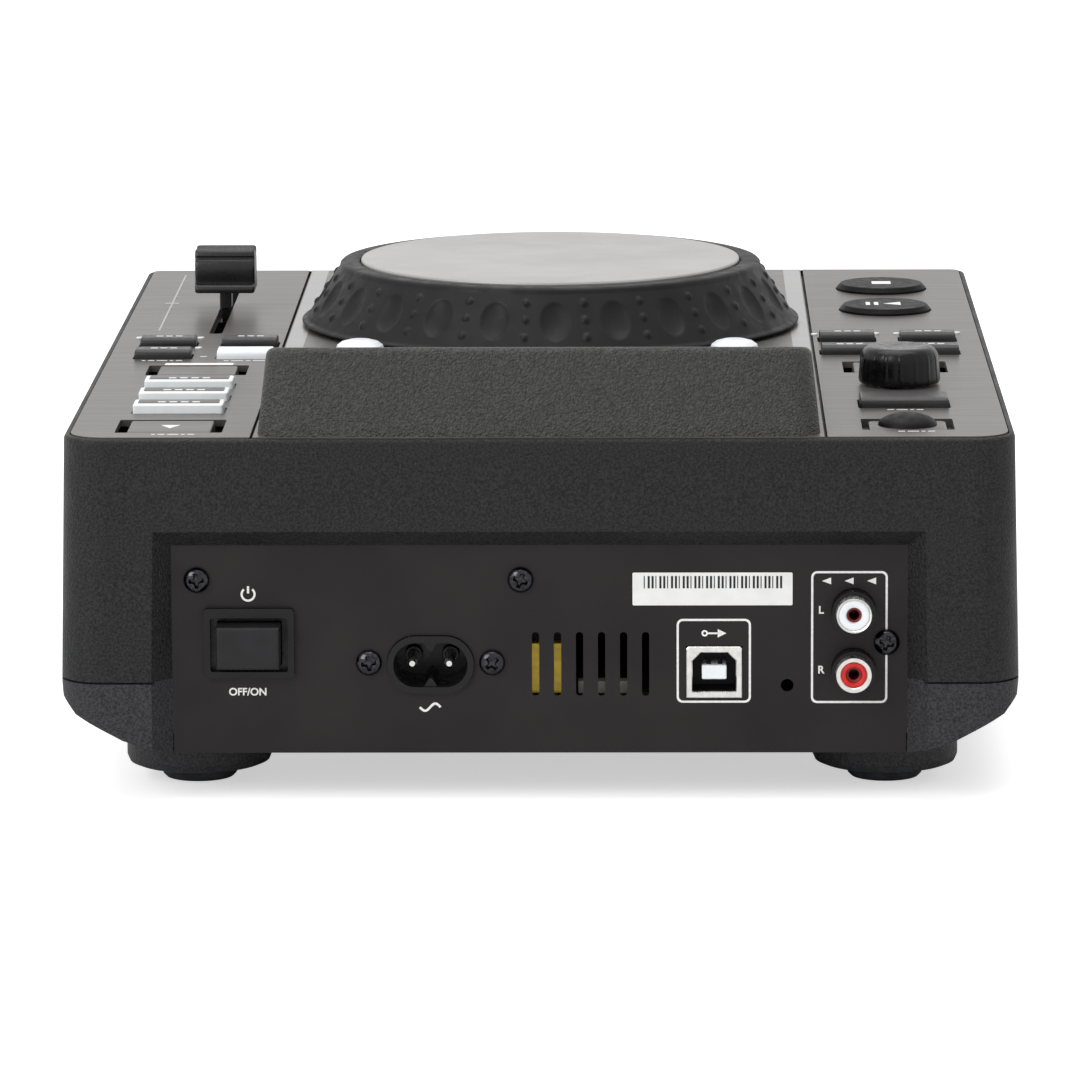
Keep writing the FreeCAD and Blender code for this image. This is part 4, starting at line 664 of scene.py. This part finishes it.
# %% Make the barrel keys
BAR_KEYS = {}
for row_name, row_y, deep in (("right_rear", 15.6, 7.7), ("right_front", -4.4, 7.7),
                              ("left_rear", 10.4, 7.5), ("left_front", -11.2, 7.5)):
    for end in ("outer", "inner"):
        is_white = (row_name, end) == ("right_rear", "inner")
        BAR_KEYS[f"bar_key_{row_name}_{end}"] = (row_y, deep, "white_button" if is_white else "black_key")
BAR_KEYS["back_key"] = (91.6, 12.2, "black_key")
for node_name, (middle_y, deep, finish_name) in BAR_KEYS.items():
    mx, _, wide, top = key_middle(node_name)
    body_mesh = cap(mx, middle_y, wide, deep, top, corner=0.5, edge=0.35, barrel=1.5)
    piece(node_name + "_cap", body_mesh, finish_name, node_name, [node_name])
print(len(BAR_KEYS), "barrel keys")

# %% [markdown]
# ## The rubber cover of the top socket
# A flat lid with the plates' finish and a low oval bump of black rubber for the finger. It stops
# short of its recess on three sides, so a dark gap frames it. Each is one stack of outlines.

# %% Mould the rubber cover
lid_low, lid_high = extent("usb_cover")
lid_x, lid_y = middle(lid_low.x, lid_high.x), middle(lid_low.y, lid_high.y)
LID_END_GAP, LID_FRONT_GAP = 1.4, 2.0
lid_edges = (lid_low.x + LID_END_GAP, lid_high.x - LID_END_GAP, lid_low.y + LID_FRONT_GAP, lid_high.y)
lid_steps = ((0.0, lid_low.z + 0.02), (0.0, DECK - 0.35), (0.1, DECK - 0.18), (0.35, DECK - 0.08))
lid_mesh = stacked(lid_edges, 1.2, lid_steps)
BUMP_WIDE, BUMP_DEEP, BUMP_STEPS = 6.9, 6.6, 9
bump_rings = []
for step in range(BUMP_STEPS):
    climb = math.radians(90 * step / BUMP_STEPS)
    height = DECK - 0.12 + (lid_high.z - DECK) * math.sin(climb)
    across, along = BUMP_WIDE * math.cos(climb), BUMP_DEEP * math.cos(climb)
    bump_rings.append([(lid_x + across * u, lid_y + along * v, height) for u, v in circle(0, 0, 1, 64)])
piece("top_socket_lid", lid_mesh, "deck_panel", "usb_cover", ["usb_cover"])
piece("top_socket_bump", skin(bump_rings), "case_rubber", "usb_cover")
print("rubber cover", round(lid_edges[1] - lid_edges[0], 1), "mm wide")

# %% [markdown]
# ## The fader cap
# The cap that slides in the tempo slot has a hollow for the finger on top, a thin groove round
# its waist and a flared foot. It is one profile drawn in side view and swept across, with the
# ends pulled in slightly so that its corners are round.

# %% Sweep the fader cap
cap_low, cap_high = extent("fader_cap")
SLOT_X, cap_y = 84.6, middle(cap_low.y, cap_high.y)
cap_foot, cap_top = cap_low.z + 4.3, cap_high.z
drops = [(0.0, 1.3), (1.3, 1.1), (2.6, 0.4), (3.6, 0.0), (4.6, 0.25), (5.2, 0.95), (5.3, 1.7), (4.9, 2.1),
         (4.95, 2.5), (5.4, 2.9), (5.75, 3.8), (5.95, 5.0), (5.95, 6.3), (5.75, 7.5), (5.4, 8.4), (5.45, 8.8),
         (6.2, 9.1), (6.8, 9.6)]
half_profile = [(y, cap_top - drop) for y, drop in drops] + [(7.0, cap_foot + 0.7), (6.7, cap_foot)]
outline = [(cap_y + y, z) for y, z in half_profile]
outline += [(cap_y - y, z) for y, z in reversed(half_profile[1:])]
cap_mid_z = middle(cap_foot, cap_top)
stations = [(0.0, 0.93), (0.12, 0.965), (0.4, 0.99), (0.8, 1.0)]
wide = cap_high.x - cap_low.x
spots = [(cap_low.x + d, s) for d, s in stations] + [(cap_high.x - d, s) for d, s in reversed(stations)]
fader_rings = [[(x, cap_y + (y - cap_y) * s, cap_mid_z + (z - cap_mid_z) * s) for y, z in outline]
               for x, s in spots]
fader_mesh = skin(fader_rings)
stacked((SLOT_X - 1.5, SLOT_X + 1.5, cap_y - 3.4, cap_y + 3.4), 0.4,
        ((0.0, cap_low.z), (0.0, cap_foot + 0.3)), bm=fader_mesh)
piece("fader_cap_grip", fader_mesh, "fader_plastic", "fader", ["fader_cap"], sharp=40)
line_low, line_high = cap_low.x + 0.9, cap_high.x - 0.9
line = skin([[(x, cap_y + y, cap_top - drop) for x, y in
              ((line_low, -reach), (line_high, -reach), (line_high, reach), (line_low, reach))]
             for reach, drop in ((0.35, 1.42), (0.3, 1.36))])
piece("fader_cap_line", line, "white_ink", "fader")
print("fader cap", round(wide, 1), "mm wide")

# %% [markdown]
# ## The browse knob
# A glossy knob with sixteen thin ribs, a chamfered top and a slightly dished face. The ribs are
# raised by the same trick as the dimples: the radius of each point depends on its angle.

# %% Turn the knob
knob_low, knob_high = extent("browse_knob")
knob_x, knob_y = middle(knob_low.x, knob_high.x), middle(knob_low.y, knob_high.y)
KNOB_R, RIBS = (knob_high.x - knob_low.x) / 2, 16
knob_foot, knob_top = knob_low.z, knob_high.z
side_run = knob_top - 2.6 - knob_foot - 0.9
knob_profile = [(3.2, knob_foot + 0.1, 0), (KNOB_R - 0.5, knob_foot, 0), (KNOB_R - 0.3, knob_foot + 0.25, 0)]
knob_profile += [(KNOB_R - 0.3 - 0.05 * i, knob_foot + 0.9 + side_run * i / 8, 1.0) for i in range(9)]
knob_profile += [(KNOB_R - inward, knob_top - drop, rib) for inward, drop, rib in
                 ((0.85, 1.9, 0.8), (1.1, 1.25, 0.2), (1.5, 0.7, 0), (2.1, 0.25, 0), (3.0, 0.0, 0),
                  (5.0, 0.1, 0))]
knob_profile.append((0.4, knob_top - 0.2, 0))
RIB_RISE, RIB_START, KNOB_STEPS = 0.16, 0.55, RIBS * 30
knob_rings = []
for radius, height, rib in knob_profile:
    ring = []
    for i in range(KNOB_STEPS):
        angle = 2 * math.pi * i / KNOB_STEPS
        wave = math.cos(RIBS * angle)
        r = radius + rib * RIB_RISE * max(0.0, (wave - RIB_START) / (1 - RIB_START))
        ring.append((knob_x + r * math.cos(angle), knob_y + r * math.sin(angle), height))
    knob_rings.append(ring)
piece("browse_knob_grip", skin(knob_rings), "knob_rubber", "browse_grip", ["browse_knob"],
      sharp=40)
print("knob radius", round(KNOB_R, 2), "with", RIBS, "ribs")

# %% [markdown]
# ## Marks on plates
# White marks are printed on the deck and the rear panel: simple pictograms, rules, tick lines,
# and ON and OFF at the switch. Each mark is a film of ink a few hundredths of a millimetre
# thick, so it is a real surface and not a picture.

# %% Helpers for printed marks
FILM = 0.04


def on_deck(u, v, lift=0.0):
    return u, v, DECK + lift


def on_panel(u, v, lift=0.0):
    return u, PANEL + lift, v


def film(bm, outline, place, base=0.0, thick=FILM):
    """A flat closed outline, raised by the film's thickness."""
    skin([[place(u, v, base + z) for u, v in outline] for z in (0.0, thick)], bm=bm)


def bar(x0, x1, y0, y1):
    return [(x0, y0), (x1, y0), (x1, y1), (x0, y1)]


def loop_film(bm, outer, inner, place):
    """A closed band between two outlines that have as many points."""
    rings = [[place(u, v, z) for u, v in line] for line, z in
             ((outer, 0.0), (outer, FILM), (inner, FILM), (inner, 0.0))]
    rows = [[bm.verts.new(p) for p in ring] for ring in rings]
    for a, b in zip(rows, rows[1:] + rows[:1]):
        for i in range(len(a)):
            j = (i + 1) % len(a)
            bm.faces.new((a[i], a[j], b[j], b[i]))


def stroke(points, width):
    """An open line with thickness, as a closed outline."""
    left, right_side = [], []
    for i, (x, y) in enumerate(points):
        ax, ay = points[max(i - 1, 0)]
        bx, by = points[min(i + 1, len(points) - 1)]
        run = math.hypot(bx - ax, by - ay) or 1.0
        nx, ny = -(by - ay) / run * width / 2, (bx - ax) / run * width / 2
        left.append((x + nx, y + ny))
        right_side.append((x - nx, y - ny))
    return left + right_side[::-1]


def letters(bm, words, x, z, height):
    """Upright capitals on the rear panel, read from behind, as extruded ink."""
    curve = bpy.data.curves.new("lettering", "FONT")
    curve.body, curve.align_x, curve.align_y, curve.size = words, "CENTER", "CENTER", height / 0.72
    curve.offset = 0.06
    holder = bpy.data.objects.new("lettering", curve)
    scene.collection.objects.link(holder)
    bpy.context.view_layer.update()
    flat = bpy.data.meshes.new_from_object(holder.evaluated_get(bpy.context.evaluated_depsgraph_get()))
    glyphs = bmesh.new()
    glyphs.from_mesh(flat)
    made = bmesh.ops.extrude_face_region(glyphs, geom=glyphs.faces[:])
    for corner in (v for v in made["geom"] if isinstance(v, bmesh.types.BMVert)):
        corner.co.z = FILM
    points = {v: bm.verts.new((x - v.co.x, PANEL + v.co.z, z + v.co.y)) for v in glyphs.verts}
    glyphs.verts.index_update()
    for face in sorted(glyphs.faces, key=lambda f: sorted(v.index for v in f.verts)):
        bm.faces.new([points[v] for v in face.verts])
    glyphs.free()
    bpy.data.objects.remove(holder)
    bpy.data.meshes.remove(flat)
    bpy.data.curves.remove(curve)


print("film is", FILM, "mm thick")

# %% [markdown]
# ## Printing on the rear panel
# Two rounded frames surround the data and phono sockets. Above and beside the sockets stand
# small generic signs: a power sign, a wave for mains, arrows for a plug and for sound going out,
# and L and R.

# %% Print the rear panel
print_rear = bmesh.new()


def frame_lines(x0, x1, z0, z1, width=0.5):
    inner = round_rect(x0 + width, x1 - width, z0 + width, z1 - width, 1.0)
    loop_film(print_rear, round_rect(x0, x1, z0, z1, 1.4), inner, on_panel)


frame_lines(-49.0, -31.8, 23.1, 42.9)
frame_lines(-80.6, -62.9, 23.0, 54.1)
POWER_X, POWER_Z = 67.4, 48.8
arc = [(POWER_X + 1.5 * math.sin(a), POWER_Z + 1.5 * math.cos(a)) for a in
       (math.radians(40 + 280 * i / 24) for i in range(25))]
film(print_rear, stroke(arc, 0.5), on_panel)
film(print_rear, bar(POWER_X - 0.26, POWER_X + 0.26, POWER_Z + 0.2, POWER_Z + 1.9), on_panel)
WAVE_X, WAVE_Z, WAVE_LONG = 25.4, 22.1, 4.8
wave = [(WAVE_X + WAVE_LONG * (i / 24 - 0.5), WAVE_Z + 0.85 * math.sin(2 * math.pi * i / 24))
        for i in range(25)]
film(print_rear, stroke(wave, 0.55), on_panel)
PLUG_X, PLUG_Z = -38.3, 39.5
film(print_rear, stroke([(PLUG_X - 0.7, PLUG_Z), (PLUG_X - 3.1, PLUG_Z)], 0.42), on_panel)
film(print_rear, [(PLUG_X - 3, PLUG_Z - 1), (PLUG_X - 5, PLUG_Z), (PLUG_X - 3, PLUG_Z + 1)], on_panel)
loop_film(print_rear, circle(PLUG_X, PLUG_Z, 0.75, 24), circle(PLUG_X, PLUG_Z, 0.35, 24), on_panel)
for centre in (-66.5, -71.7, -76.9):
    film(print_rear, [(centre - 1.0, 51.0), (centre - 1.0, 52.6), (centre + 1.1, 51.8)][::-1], on_panel)
letters(print_rear, "OFF/ON", 67.7, 25.7, 1.75)
letters(print_rear, "L", -65.2, 44.9, 1.8)
letters(print_rear, "R", -65.2, 30.8, 1.8)
piece("rear_panel_print", print_rear, "white_ink", "case")
print("rear panel printed")

# %% [markdown]
# ## The white label
# A paper label with a row of plain upright bars. The bars repeat in an even rhythm and stand for
# nothing. Both layers are thin plates, so the label's edge shows as a real one does.

# %% Stick the label
label = bmesh.new()
film(label, round_rect(-58.6, -21.6, 46.1, 53.8, 0.3), on_panel, thick=0.1)
piece("rear_label", label, "label_paper", "case")
bars = bmesh.new()
BARS, BAR_STEP, WIDE_BAR, THIN_BAR = 36, 0.9, 0.5, 0.24
for i in range(BARS):
    x = -24.2 - BAR_STEP * i
    film(bars, bar(x - (WIDE_BAR if i % 3 else THIN_BAR), x, 50.1, 53.0), on_panel, base=0.1, thick=0.02)
piece("rear_label_bars", bars, "black_ink", "case")
print("label with", BARS, "bars")

# %% [markdown]
# ## The data socket
# A square type of socket: a folded metal shell with chamfered upper corners, a white block in
# the middle with contacts on it, and dark space round it. The CAD block is replaced by a shell
# with real thickness, its floor, and the block. A dark sheet inside the mouth is painted shade.

# %% Fold the data socket
data_low, data_high = extent("usb_b_socket")
ux, uz = middle(data_low.x, data_high.x), middle(data_low.z, data_high.z)
half_w, half_h = (data_high.x - data_low.x) / 2, (data_high.z - data_low.z) / 2


def shell_outline(w, h, chamfer):
    return [(ux - w, uz - h), (ux + w, uz - h), (ux + w, uz + h - chamfer), (ux + w - chamfer, uz + h),
            (ux - w + chamfer, uz + h), (ux - w, uz + h - chamfer)]


MOUTH_WIDE, MOUTH_TALL, MOUTH_DEPTH = 0.78, 0.76, 9.0
mouth = (half_w * MOUTH_WIDE, half_h * MOUTH_TALL, 1.9)
data_face, data_floor = data_high.y, data_high.y - MOUTH_DEPTH
shell_steps = ((half_w, half_h, 0.5, data_low.y), (half_w, half_h, 0.5, data_face - 0.15),
               (half_w - 0.15, half_h - 0.15, 0.5, data_face),
               (mouth[0] + 0.2, mouth[1] + 0.2, 2.0, data_face), (*mouth, data_face - 0.25),
               (*mouth, data_floor))
shell = skin([[(x, y, z) for x, z in shell_outline(w, h, c)] for w, h, c, y in shell_steps])
piece("data_socket_shell", shell, "bright_metal", "case", ["usb_b_socket"], sharp=25)
# A near-black sheet lines the mouth's walls and floor: painted shade inside the metal shell.
mouth_painted_shade = skin([[(x, y, z) for x, z in shell_outline(mouth[0] - 0.02, mouth[1] - 0.02, 1.88)]
               for y in (data_floor + 0.01, data_face - 1.1)], closed_ends=False)
skin([[(x, y, z) for x, z in shell_outline(mouth[0] - 0.03, mouth[1] - 0.03, 1.87)]
      for y in (data_floor + 0.02, data_floor + 0.1)], bm=mouth_painted_shade)
piece("data_socket_painted_shade", mouth_painted_shade, "dark_bore", "case")
BLOCK_HALF, BLOCK_LOW, BLOCK_HIGH = 2.85, -1.75, 1.5
block = skin([[(x, y, z) for x, z in round_rect(ux - BLOCK_HALF + i, ux + BLOCK_HALF - i,
                                                uz + BLOCK_LOW + i, uz + BLOCK_HIGH - i, 0.3, 3)]
              for y, i in ((data_floor + 0.1, 0.0), (data_face - 0.95, 0.0), (data_face - 0.75, 0.2))])
piece("data_socket_block", block, "white_key", "case")
contacts = bmesh.new()
for side_x in (-1.35, 1.35):
    for z0, z1 in ((uz + BLOCK_HIGH, uz + BLOCK_HIGH + 0.12), (uz + BLOCK_LOW - 0.12, uz + BLOCK_LOW)):
        skin([[(x, y, z) for x, z in bar(ux + side_x - 0.5, ux + side_x + 0.5, z0, z1)]
              for y in (data_floor + 1.0, data_face - 1.4)], bm=contacts)
piece("data_socket_contacts", contacts, "bright_metal", "case")
print("data socket", round(half_w * 2, 1), "by", round(half_h * 2, 1), "mm")

# %% [markdown]
# ## The phono sockets
# Each has a bright collar, a coloured insulator and a bore with a split contact in it; the bore's
# red is darkened with painted shade. All of it is turned, so one profile per material, spun round
# the socket's own level axis, is enough.

# %% Turn the phono sockets
def turned_level(profile, x, z, steps=64, bm=None):
    """A profile of (radius, y) pairs spun round a level axis that points to the rear."""
    spun = [[(x + r * math.cos(2 * math.pi * i / steps), y, z + r * math.sin(2 * math.pi * i / steps))
             for i in range(steps)] for r, y in profile]
    return skin(spun, bm=bm)


ring_low, ring_high = extent("phono_rings")
phono_x = -72.65
root, tip = ring_low.y, ring_high.y
collars, painted_shade_bores = bmesh.new(), bmesh.new()
for channel, z, lip, finish_name, slot_name in (("left", 45.05, 3.6, "white_button", "white_button"),
                                                ("right", 31.05, 3.0, "red_plastic", "socket_plastic")):
    turned_level([(lip, root), (lip, tip - 0.3), (lip + 0.2, tip - 0.08), (4.05, tip), (4.15, tip - 0.2),
                  (4.15, root), (3.9, root)][::-1], phono_x, z, bm=collars)
    insulator = turned_level([(1.75, root + 2), (1.75, tip - 0.9), (1.95, tip - 0.5), (2.4, tip - 0.3),
                              (lip - 0.35, tip - 0.28), (lip - 0.03, tip - 0.5), (lip - 0.01, root + 2)],
                             phono_x, z)
    piece("phono_insulator_" + channel, insulator, finish_name, "case")
    # The bore is dark red: red insulator plastic darkened by painted shade.
    turned_level([(1.74, root + 3), (1.74, tip - 1.1), (1.25, tip - 1.3), (1.2, root + 4.2),
                  (0.05, root + 4.1)], phono_x, z, bm=painted_shade_bores)
piece("phono_collars", collars, "bright_metal", "case", ["phono_rings"])
piece("phono_bores_painted_shade", painted_shade_bores, "red_bore", "case")
print("two phono sockets reach", round(tip - PANEL, 1), "mm behind the panel")

# %% [markdown]
# ## Mains inlet pins
# Each round pin stands in a small insulating collar, and its tip is domed. The CAD pins stay;
# the collars are added.

# %% Add the collars at the pins
pin_low, pin_high = extent("inlet_pins")
inlet_collars = bmesh.new()
for x in (20.95, 29.55):
    turned_level([(1.2, 121.0), (2.0, 121.0), (2.0, 124.6), (1.85, 124.9), (1.35, 124.9), (1.2, 124.6)][::-1],
                 x, 32.2, 48, inlet_collars)
piece("inlet_pin_collars", inlet_collars, "socket_plastic", "case")
ridges = bmesh.new()
INLET_X, INLET_Z, HOLLOW_HALF, INLET_BACK = 25.25, middle(pin_low.z, pin_high.z), 5.2, 123.0
for way in (1, -1):
    edge = INLET_Z + way * (HOLLOW_HALF + 0.15)
    skin([[(INLET_X - 1.7, y, edge), (INLET_X + 1.7, y, edge), (INLET_X + 0.3, y, edge - way * 2.1),
           (INLET_X - 0.3, y, edge - way * 2.1)] for y in (INLET_BACK, PANEL + 0.3)], bm=ridges)
piece("inlet_ridges", ridges, "socket_plastic", "case")
print("inlet pins end at y", round(pin_high.y, 1))

# %% [markdown]
# ## The taped winding behind the vents
# Two of the slots show a winding wrapped in yellow tape, and the dark core round it. The CAD node
# has both in one piece, so it is split here, and the tape gets the soft ridges of its layers.

# %% Wind the tape
def tall_box(bm, x0, x1, y0, y1, z0, z1, corner, waves=0.0):
    """An upright block with round edges; waves push its sides in and out like wound layers."""
    rings = []
    for step in range(25):
        share = step / 24
        push = waves * math.sin(share * math.pi * 11)
        rings.append([(x, y, z0 + (z1 - z0) * share) for x, y in
                      round_rect(x0 - push, x1 + push, y0 - push, y1 + push, corner)])
    return skin(rings, bm=bm)


coil = tall_box(None, -6.4, 6.2, 116.7, 134.5, 25.0, 36.6, 1.0, 0.06)
piece("winding_tape", coil, "transformer_tape", "case", ["transformer"])
core = tall_box(None, -8.4, 8.2, 120.7, 130.5, 36.75, 40.1, 0.5)
for x0, x1 in ((-8.4, -6.6), (6.4, 8.2)):
    tall_box(core, x0, x1, 120.7, 130.5, 24.3, 36.7, 0.3)
piece("transformer_core", core, "core_black", "case")
low_block = tall_box(None, -21.0, -8.9, 128.2, 132.0, 24.4, 27.2, 0.6)
piece("vent_low_block", low_block, "bearing_plastic", "case")
print("winding and core behind the slots")

# %% [markdown]
# ## Pan-head screws
# A pressed cross recess has sloping walls and soft arms, which a straight CAD pocket lacks. The
# head is a polar grid whose height is a dome minus a cross, and it stands wherever the CAD node
# has a screw, upright on the rear panel and upside down under the base.

# %% Press the screw heads
HEAD_R, HEAD_RISE, SHANK_R = 3.0, 2.0, 1.5


def cross_recess(u, v):
    arms = [min(1.0, max(0.0, (0.46 - abs(b)) / 0.16)) * min(1.0, max(0.0, (1.75 - abs(a)) / 0.35))
            for a, b in ((u, v), (v, u))]
    middle = min(1.0, max(0.0, (0.95 - math.hypot(u, v)) / 0.25))
    return 1.15 * max(arms + [middle])


def dome(radius):
    return HEAD_RISE - 0.95 * (radius / HEAD_R) ** 2 - 0.5 * (radius / HEAD_R) ** 8


def islands(mesh):
    """Boxes in millimetres of the separate pieces of a mesh."""
    source = bmesh.new()
    source.from_mesh(mesh)
    bmesh.ops.remove_doubles(source, verts=source.verts, dist=0.002 * MM)
    left, boxes = set(source.verts), []
    while left:
        queue, seen_points = [left.pop()], []
        while queue:
            point = queue.pop()
            seen_points.append(point.co / MM)
            for edge in point.link_edges:
                other = edge.other_vert(point)
                if other in left:
                    left.remove(other)
                    queue.append(other)
        boxes.append([[pick(c[i] for c in seen_points) for i in range(3)] for pick in (min, max)])
    source.free()
    return sorted(boxes)


heads = bmesh.new()
TURNS, RADII = 72, [0.12 + 2.88 * i / 26 for i in range(27)]
screw_boxes = islands(frame["nodes"]["pan_screws"].data)
for number, (low, high) in enumerate(screw_boxes):
    mx, my, mz = (middle(a, b) for a, b in zip(low, high))
    rearward = high[1] - low[1] > high[2] - low[2]
    tilt = math.radians(17 + 31 * number)
    profile = [(SHANK_R, HEAD_RISE - (high[1] - low[1] if rearward else high[2] - low[2])), (SHANK_R, 0.0),
               (HEAD_R - 0.05, 0.0)]
    rows = [[(r, turn, h) for turn in range(TURNS)] for r, h in profile]
    rows += [[(r, turn, None) for turn in range(TURNS)] for r in reversed(RADII)]
    made_rings = []
    for row in rows:
        ring = []
        for r, turn, height in row:
            angle = 2 * math.pi * turn / TURNS
            u, v = r * math.cos(angle), r * math.sin(angle)
            if height is None:
                cu, cv = u * math.cos(tilt) + v * math.sin(tilt), v * math.cos(tilt) - u * math.sin(tilt)
                height = dome(r) - cross_recess(cu, cv)
            ring.append((mx + u, high[1] - HEAD_RISE + height, mz + v) if rearward else
                        (mx + u, my + v, low[2] + HEAD_RISE - height))
        made_rings.append(ring)
    skin(made_rings, bm=heads)
piece("pan_screw_heads", heads, "screw_metal", "case", ["pan_screws"], sharp=40)
print(len(screw_boxes), "screws pressed")

# %% [markdown]
# ## Light bands and deck print
# A band of silver foil runs along each side of the wheel's plate. Beside the keys are small
# printed dashes, and along the fader a scale with a wide centre mark.

# %% Lay the bands and print the deck
bands = bmesh.new()
for sign in (1, -1):
    x0, x1 = sorted((sign * 61.2, sign * 65.6))
    film(bands, bar(x0, x1, -138.4, 27.2), on_deck, thick=0.05)
piece("silver_bands", bands, "silver_foil", "case")

deck_print, scale_print = bmesh.new(), bmesh.new()
film(scale_print, bar(99.1, 99.55, -130.0, -28.5), on_deck, thick=0.03)
for i in range(11):
    y = -129.75 + 10.1 * i
    reach = 2.1 if i % 5 else 3.2
    film(scale_print, bar(99.3 - reach / 2, 99.3 + reach / 2, y, y + 0.45), on_deck, base=0.03, thick=0.01)
film(scale_print, bar(97.6, 101.2, -77.9, -76.0), on_deck, base=0.035, thick=0.01)
piece("fader_scale", scale_print, "scale_ink", "case")


DASH_GAP = 0.6


def dashes(x0, x1, y, pattern=(1.6, 0.9, 2.6), tall=0.8):
    """A row of short dashes from x0 to x1, whose lengths follow the pattern."""
    x, i = x0, 0
    while x + pattern[i % len(pattern)] <= x1:
        film(deck_print, bar(x, x + pattern[i % len(pattern)], y, y + tall), on_deck, thick=0.03)
        x += pattern[i % len(pattern)] + DASH_GAP
        i += 1


for x0, x1, y in ((79.5, 91.0, 134.6), (-91.5, -81.5, 131.6), (-90.0, -81.0, 100.1),
                  (-80.0, -70.5, -4.2), (90.0, 101.5, 21.6), (84.4, 86.6, 15.0)):
    dashes(x0, x1, y)
dashes(69.5, 80.5, 21.9, pattern=(3.0, 1.2))
dashes(77.0, 93.8, 26.2, pattern=(16.8,), tall=3.0)
LAMP_DOTS = ((103.3, -15.3), (87.8, -15.2), (87.3, 1.7), (-67.0, -19.6), (-82.6, -20.7), (-87.8, -20.7),
             (-103.1, -21.9))
for x, y in LAMP_DOTS:
    film(deck_print, circle(x, y, 0.85, 24), on_deck, thick=0.3)
piece("deck_print", deck_print, "white_ink", "case")
print("deck printed")

# %% [markdown]
# ## Signs on the keys themselves
# A triangle on the eject key, play and stop shapes on the round buttons, and dashes on the
# barrels. They ride with their keys, so they sink when the key is pressed.

# %% Print the keys
def key_sign(node_name, outlines, top, name=None):
    """White marks on the top of a key, which ride with it."""
    bm = bmesh.new()
    for outline in outlines:
        skin([[(u, v, top + z) for u, v in outline] for z in (0.0, 0.03)], bm=bm)
    piece(name or node_name + "_sign", bm, "white_ink", node_name)


eject_top = key_middle("eject_key")[3]
EJECT_X = 85.8
key_sign("eject_key", [[(EJECT_X - 2.3, 121.6), (EJECT_X + 2.3, 121.6), (EJECT_X, 126.2)]], eject_top,
         "eject_sign")
for node_name, (middle_y, _, finish_name) in BAR_KEYS.items():
    if finish_name == "black_key" and node_name != "back_key":
        mx, _, _, top = key_middle(node_name)
        key_sign(node_name, [bar(mx - 3.4 + 2.4 * i, mx - 1.7 + 2.4 * i, middle_y - 0.5, middle_y + 0.5)
                             for i in range(3)], top)
SIGN_SCALE = 1.25
triangle = [(-3.2, -2.2), (-3.2, 2.2), (0.4, 0.0)]
ROUND_SIGNS = {"play_button": [triangle, bar(1.4, 2.3, -2.1, 2.1), bar(3.1, 4.0, -2.1, 2.1)],
               "cue_button": [bar(-2.0, 2.0, -2.0, 2.0)]}
for node_name, shapes in ROUND_SIGNS.items():
    mx, my, _, top = key_middle(node_name)
    key_sign(node_name, [[(mx + u * SIGN_SCALE, my + v * SIGN_SCALE) for u, v in outline]
                         for outline in shapes], top)
for node_name, middle_y in WHITE_KEYS.items():
    mx, _, _, top = key_middle(node_name)
    key_sign(node_name, [bar(mx - 5 + 2.7 * i, mx - 3.2 + 2.7 * i, middle_y + 0.1, middle_y + 1.4)
                         for i in range(4)], top)
print("signs on", len(BAR_KEYS) + 4, "keys")

# %% [markdown]
# ## Screen
# The display looks forward and up, away from the camera. Under its smoked window lie plain
# seven-segment numbers, a progress line and a level meter, drawn as thin glowing shapes on the
# module's own sloping face.

# %% Draw the screen
lit = finish("lit_segment", paint(170, 214, 235), 0.4)
lit.set("Emission Color", paint(150, 206, 235)).set("Emission Strength", 0.55)
lit.tint(lit.cloud(3), 0.94, 1.04)
module = frame["nodes"]["display_module"].data
top_points = sorted(((v.co / MM) for v in module.vertices), key=lambda c: c.z)
rear_top = top_points[-1]
front_top = max((c for c in top_points if abs(c.y - min(p.y for p in top_points)) < 0.2), key=lambda c: c.z)
slope = (rear_top.z - front_top.z) / (rear_top.y - front_top.y)
segments = bmesh.new()


def on_screen(u, v, lift=0.0):
    return u, v, rear_top.z + (v - rear_top.y) * slope + 0.05 + lift


SEGMENTS = {"0": "abcdef", "1": "bc", "2": "abged", "3": "abgcd"}


def digit(value, x, y, wide, tall):
    """One seven-segment number whose lower corner is at x, y, read from the front."""
    t = wide * 0.17
    places = {"a": bar(t, wide - t, tall - t, tall), "g": bar(t, wide - t, (tall - t) / 2, (tall + t) / 2),
              "d": bar(t, wide - t, 0, t), "f": bar(0, t, tall / 2 + t / 3, tall - t / 3),
              "e": bar(0, t, t / 3, tall / 2 - t / 3),
              "b": bar(wide - t, wide, tall / 2 + t / 3, tall - t / 3),
              "c": bar(wide - t, wide, t / 3, tall / 2 - t / 3)}
    for letter in SEGMENTS[value]:
        film(segments, [(x + u, y + v) for u, v in places[letter]], on_screen, thick=0.02)


for i, value in enumerate("0312"):
    digit(value, -28 + 15.5 * i + (3 if i > 1 else 0), 78, 11, 19)
for dot_y in (83.5, 91.0):
    film(segments, bar(2.2, 4.0, dot_y, dot_y + 1.8), on_screen, thick=0.02)
for i in range(60):
    film(segments, bar(-42 + 1.4 * i, -41.1 + 1.4 * i, 66, 71 if i < 34 else 67.2), on_screen, thick=0.02)
for i in range(24):
    film(segments, bar(-42 + 1.8 * i, -40.8 + 1.8 * i, 52, 57), on_screen, thick=0.02)
piece("screen_segments", segments, "lit_segment", "case")
print("screen slope", round(math.degrees(math.atan(slope)), 2), "degrees")
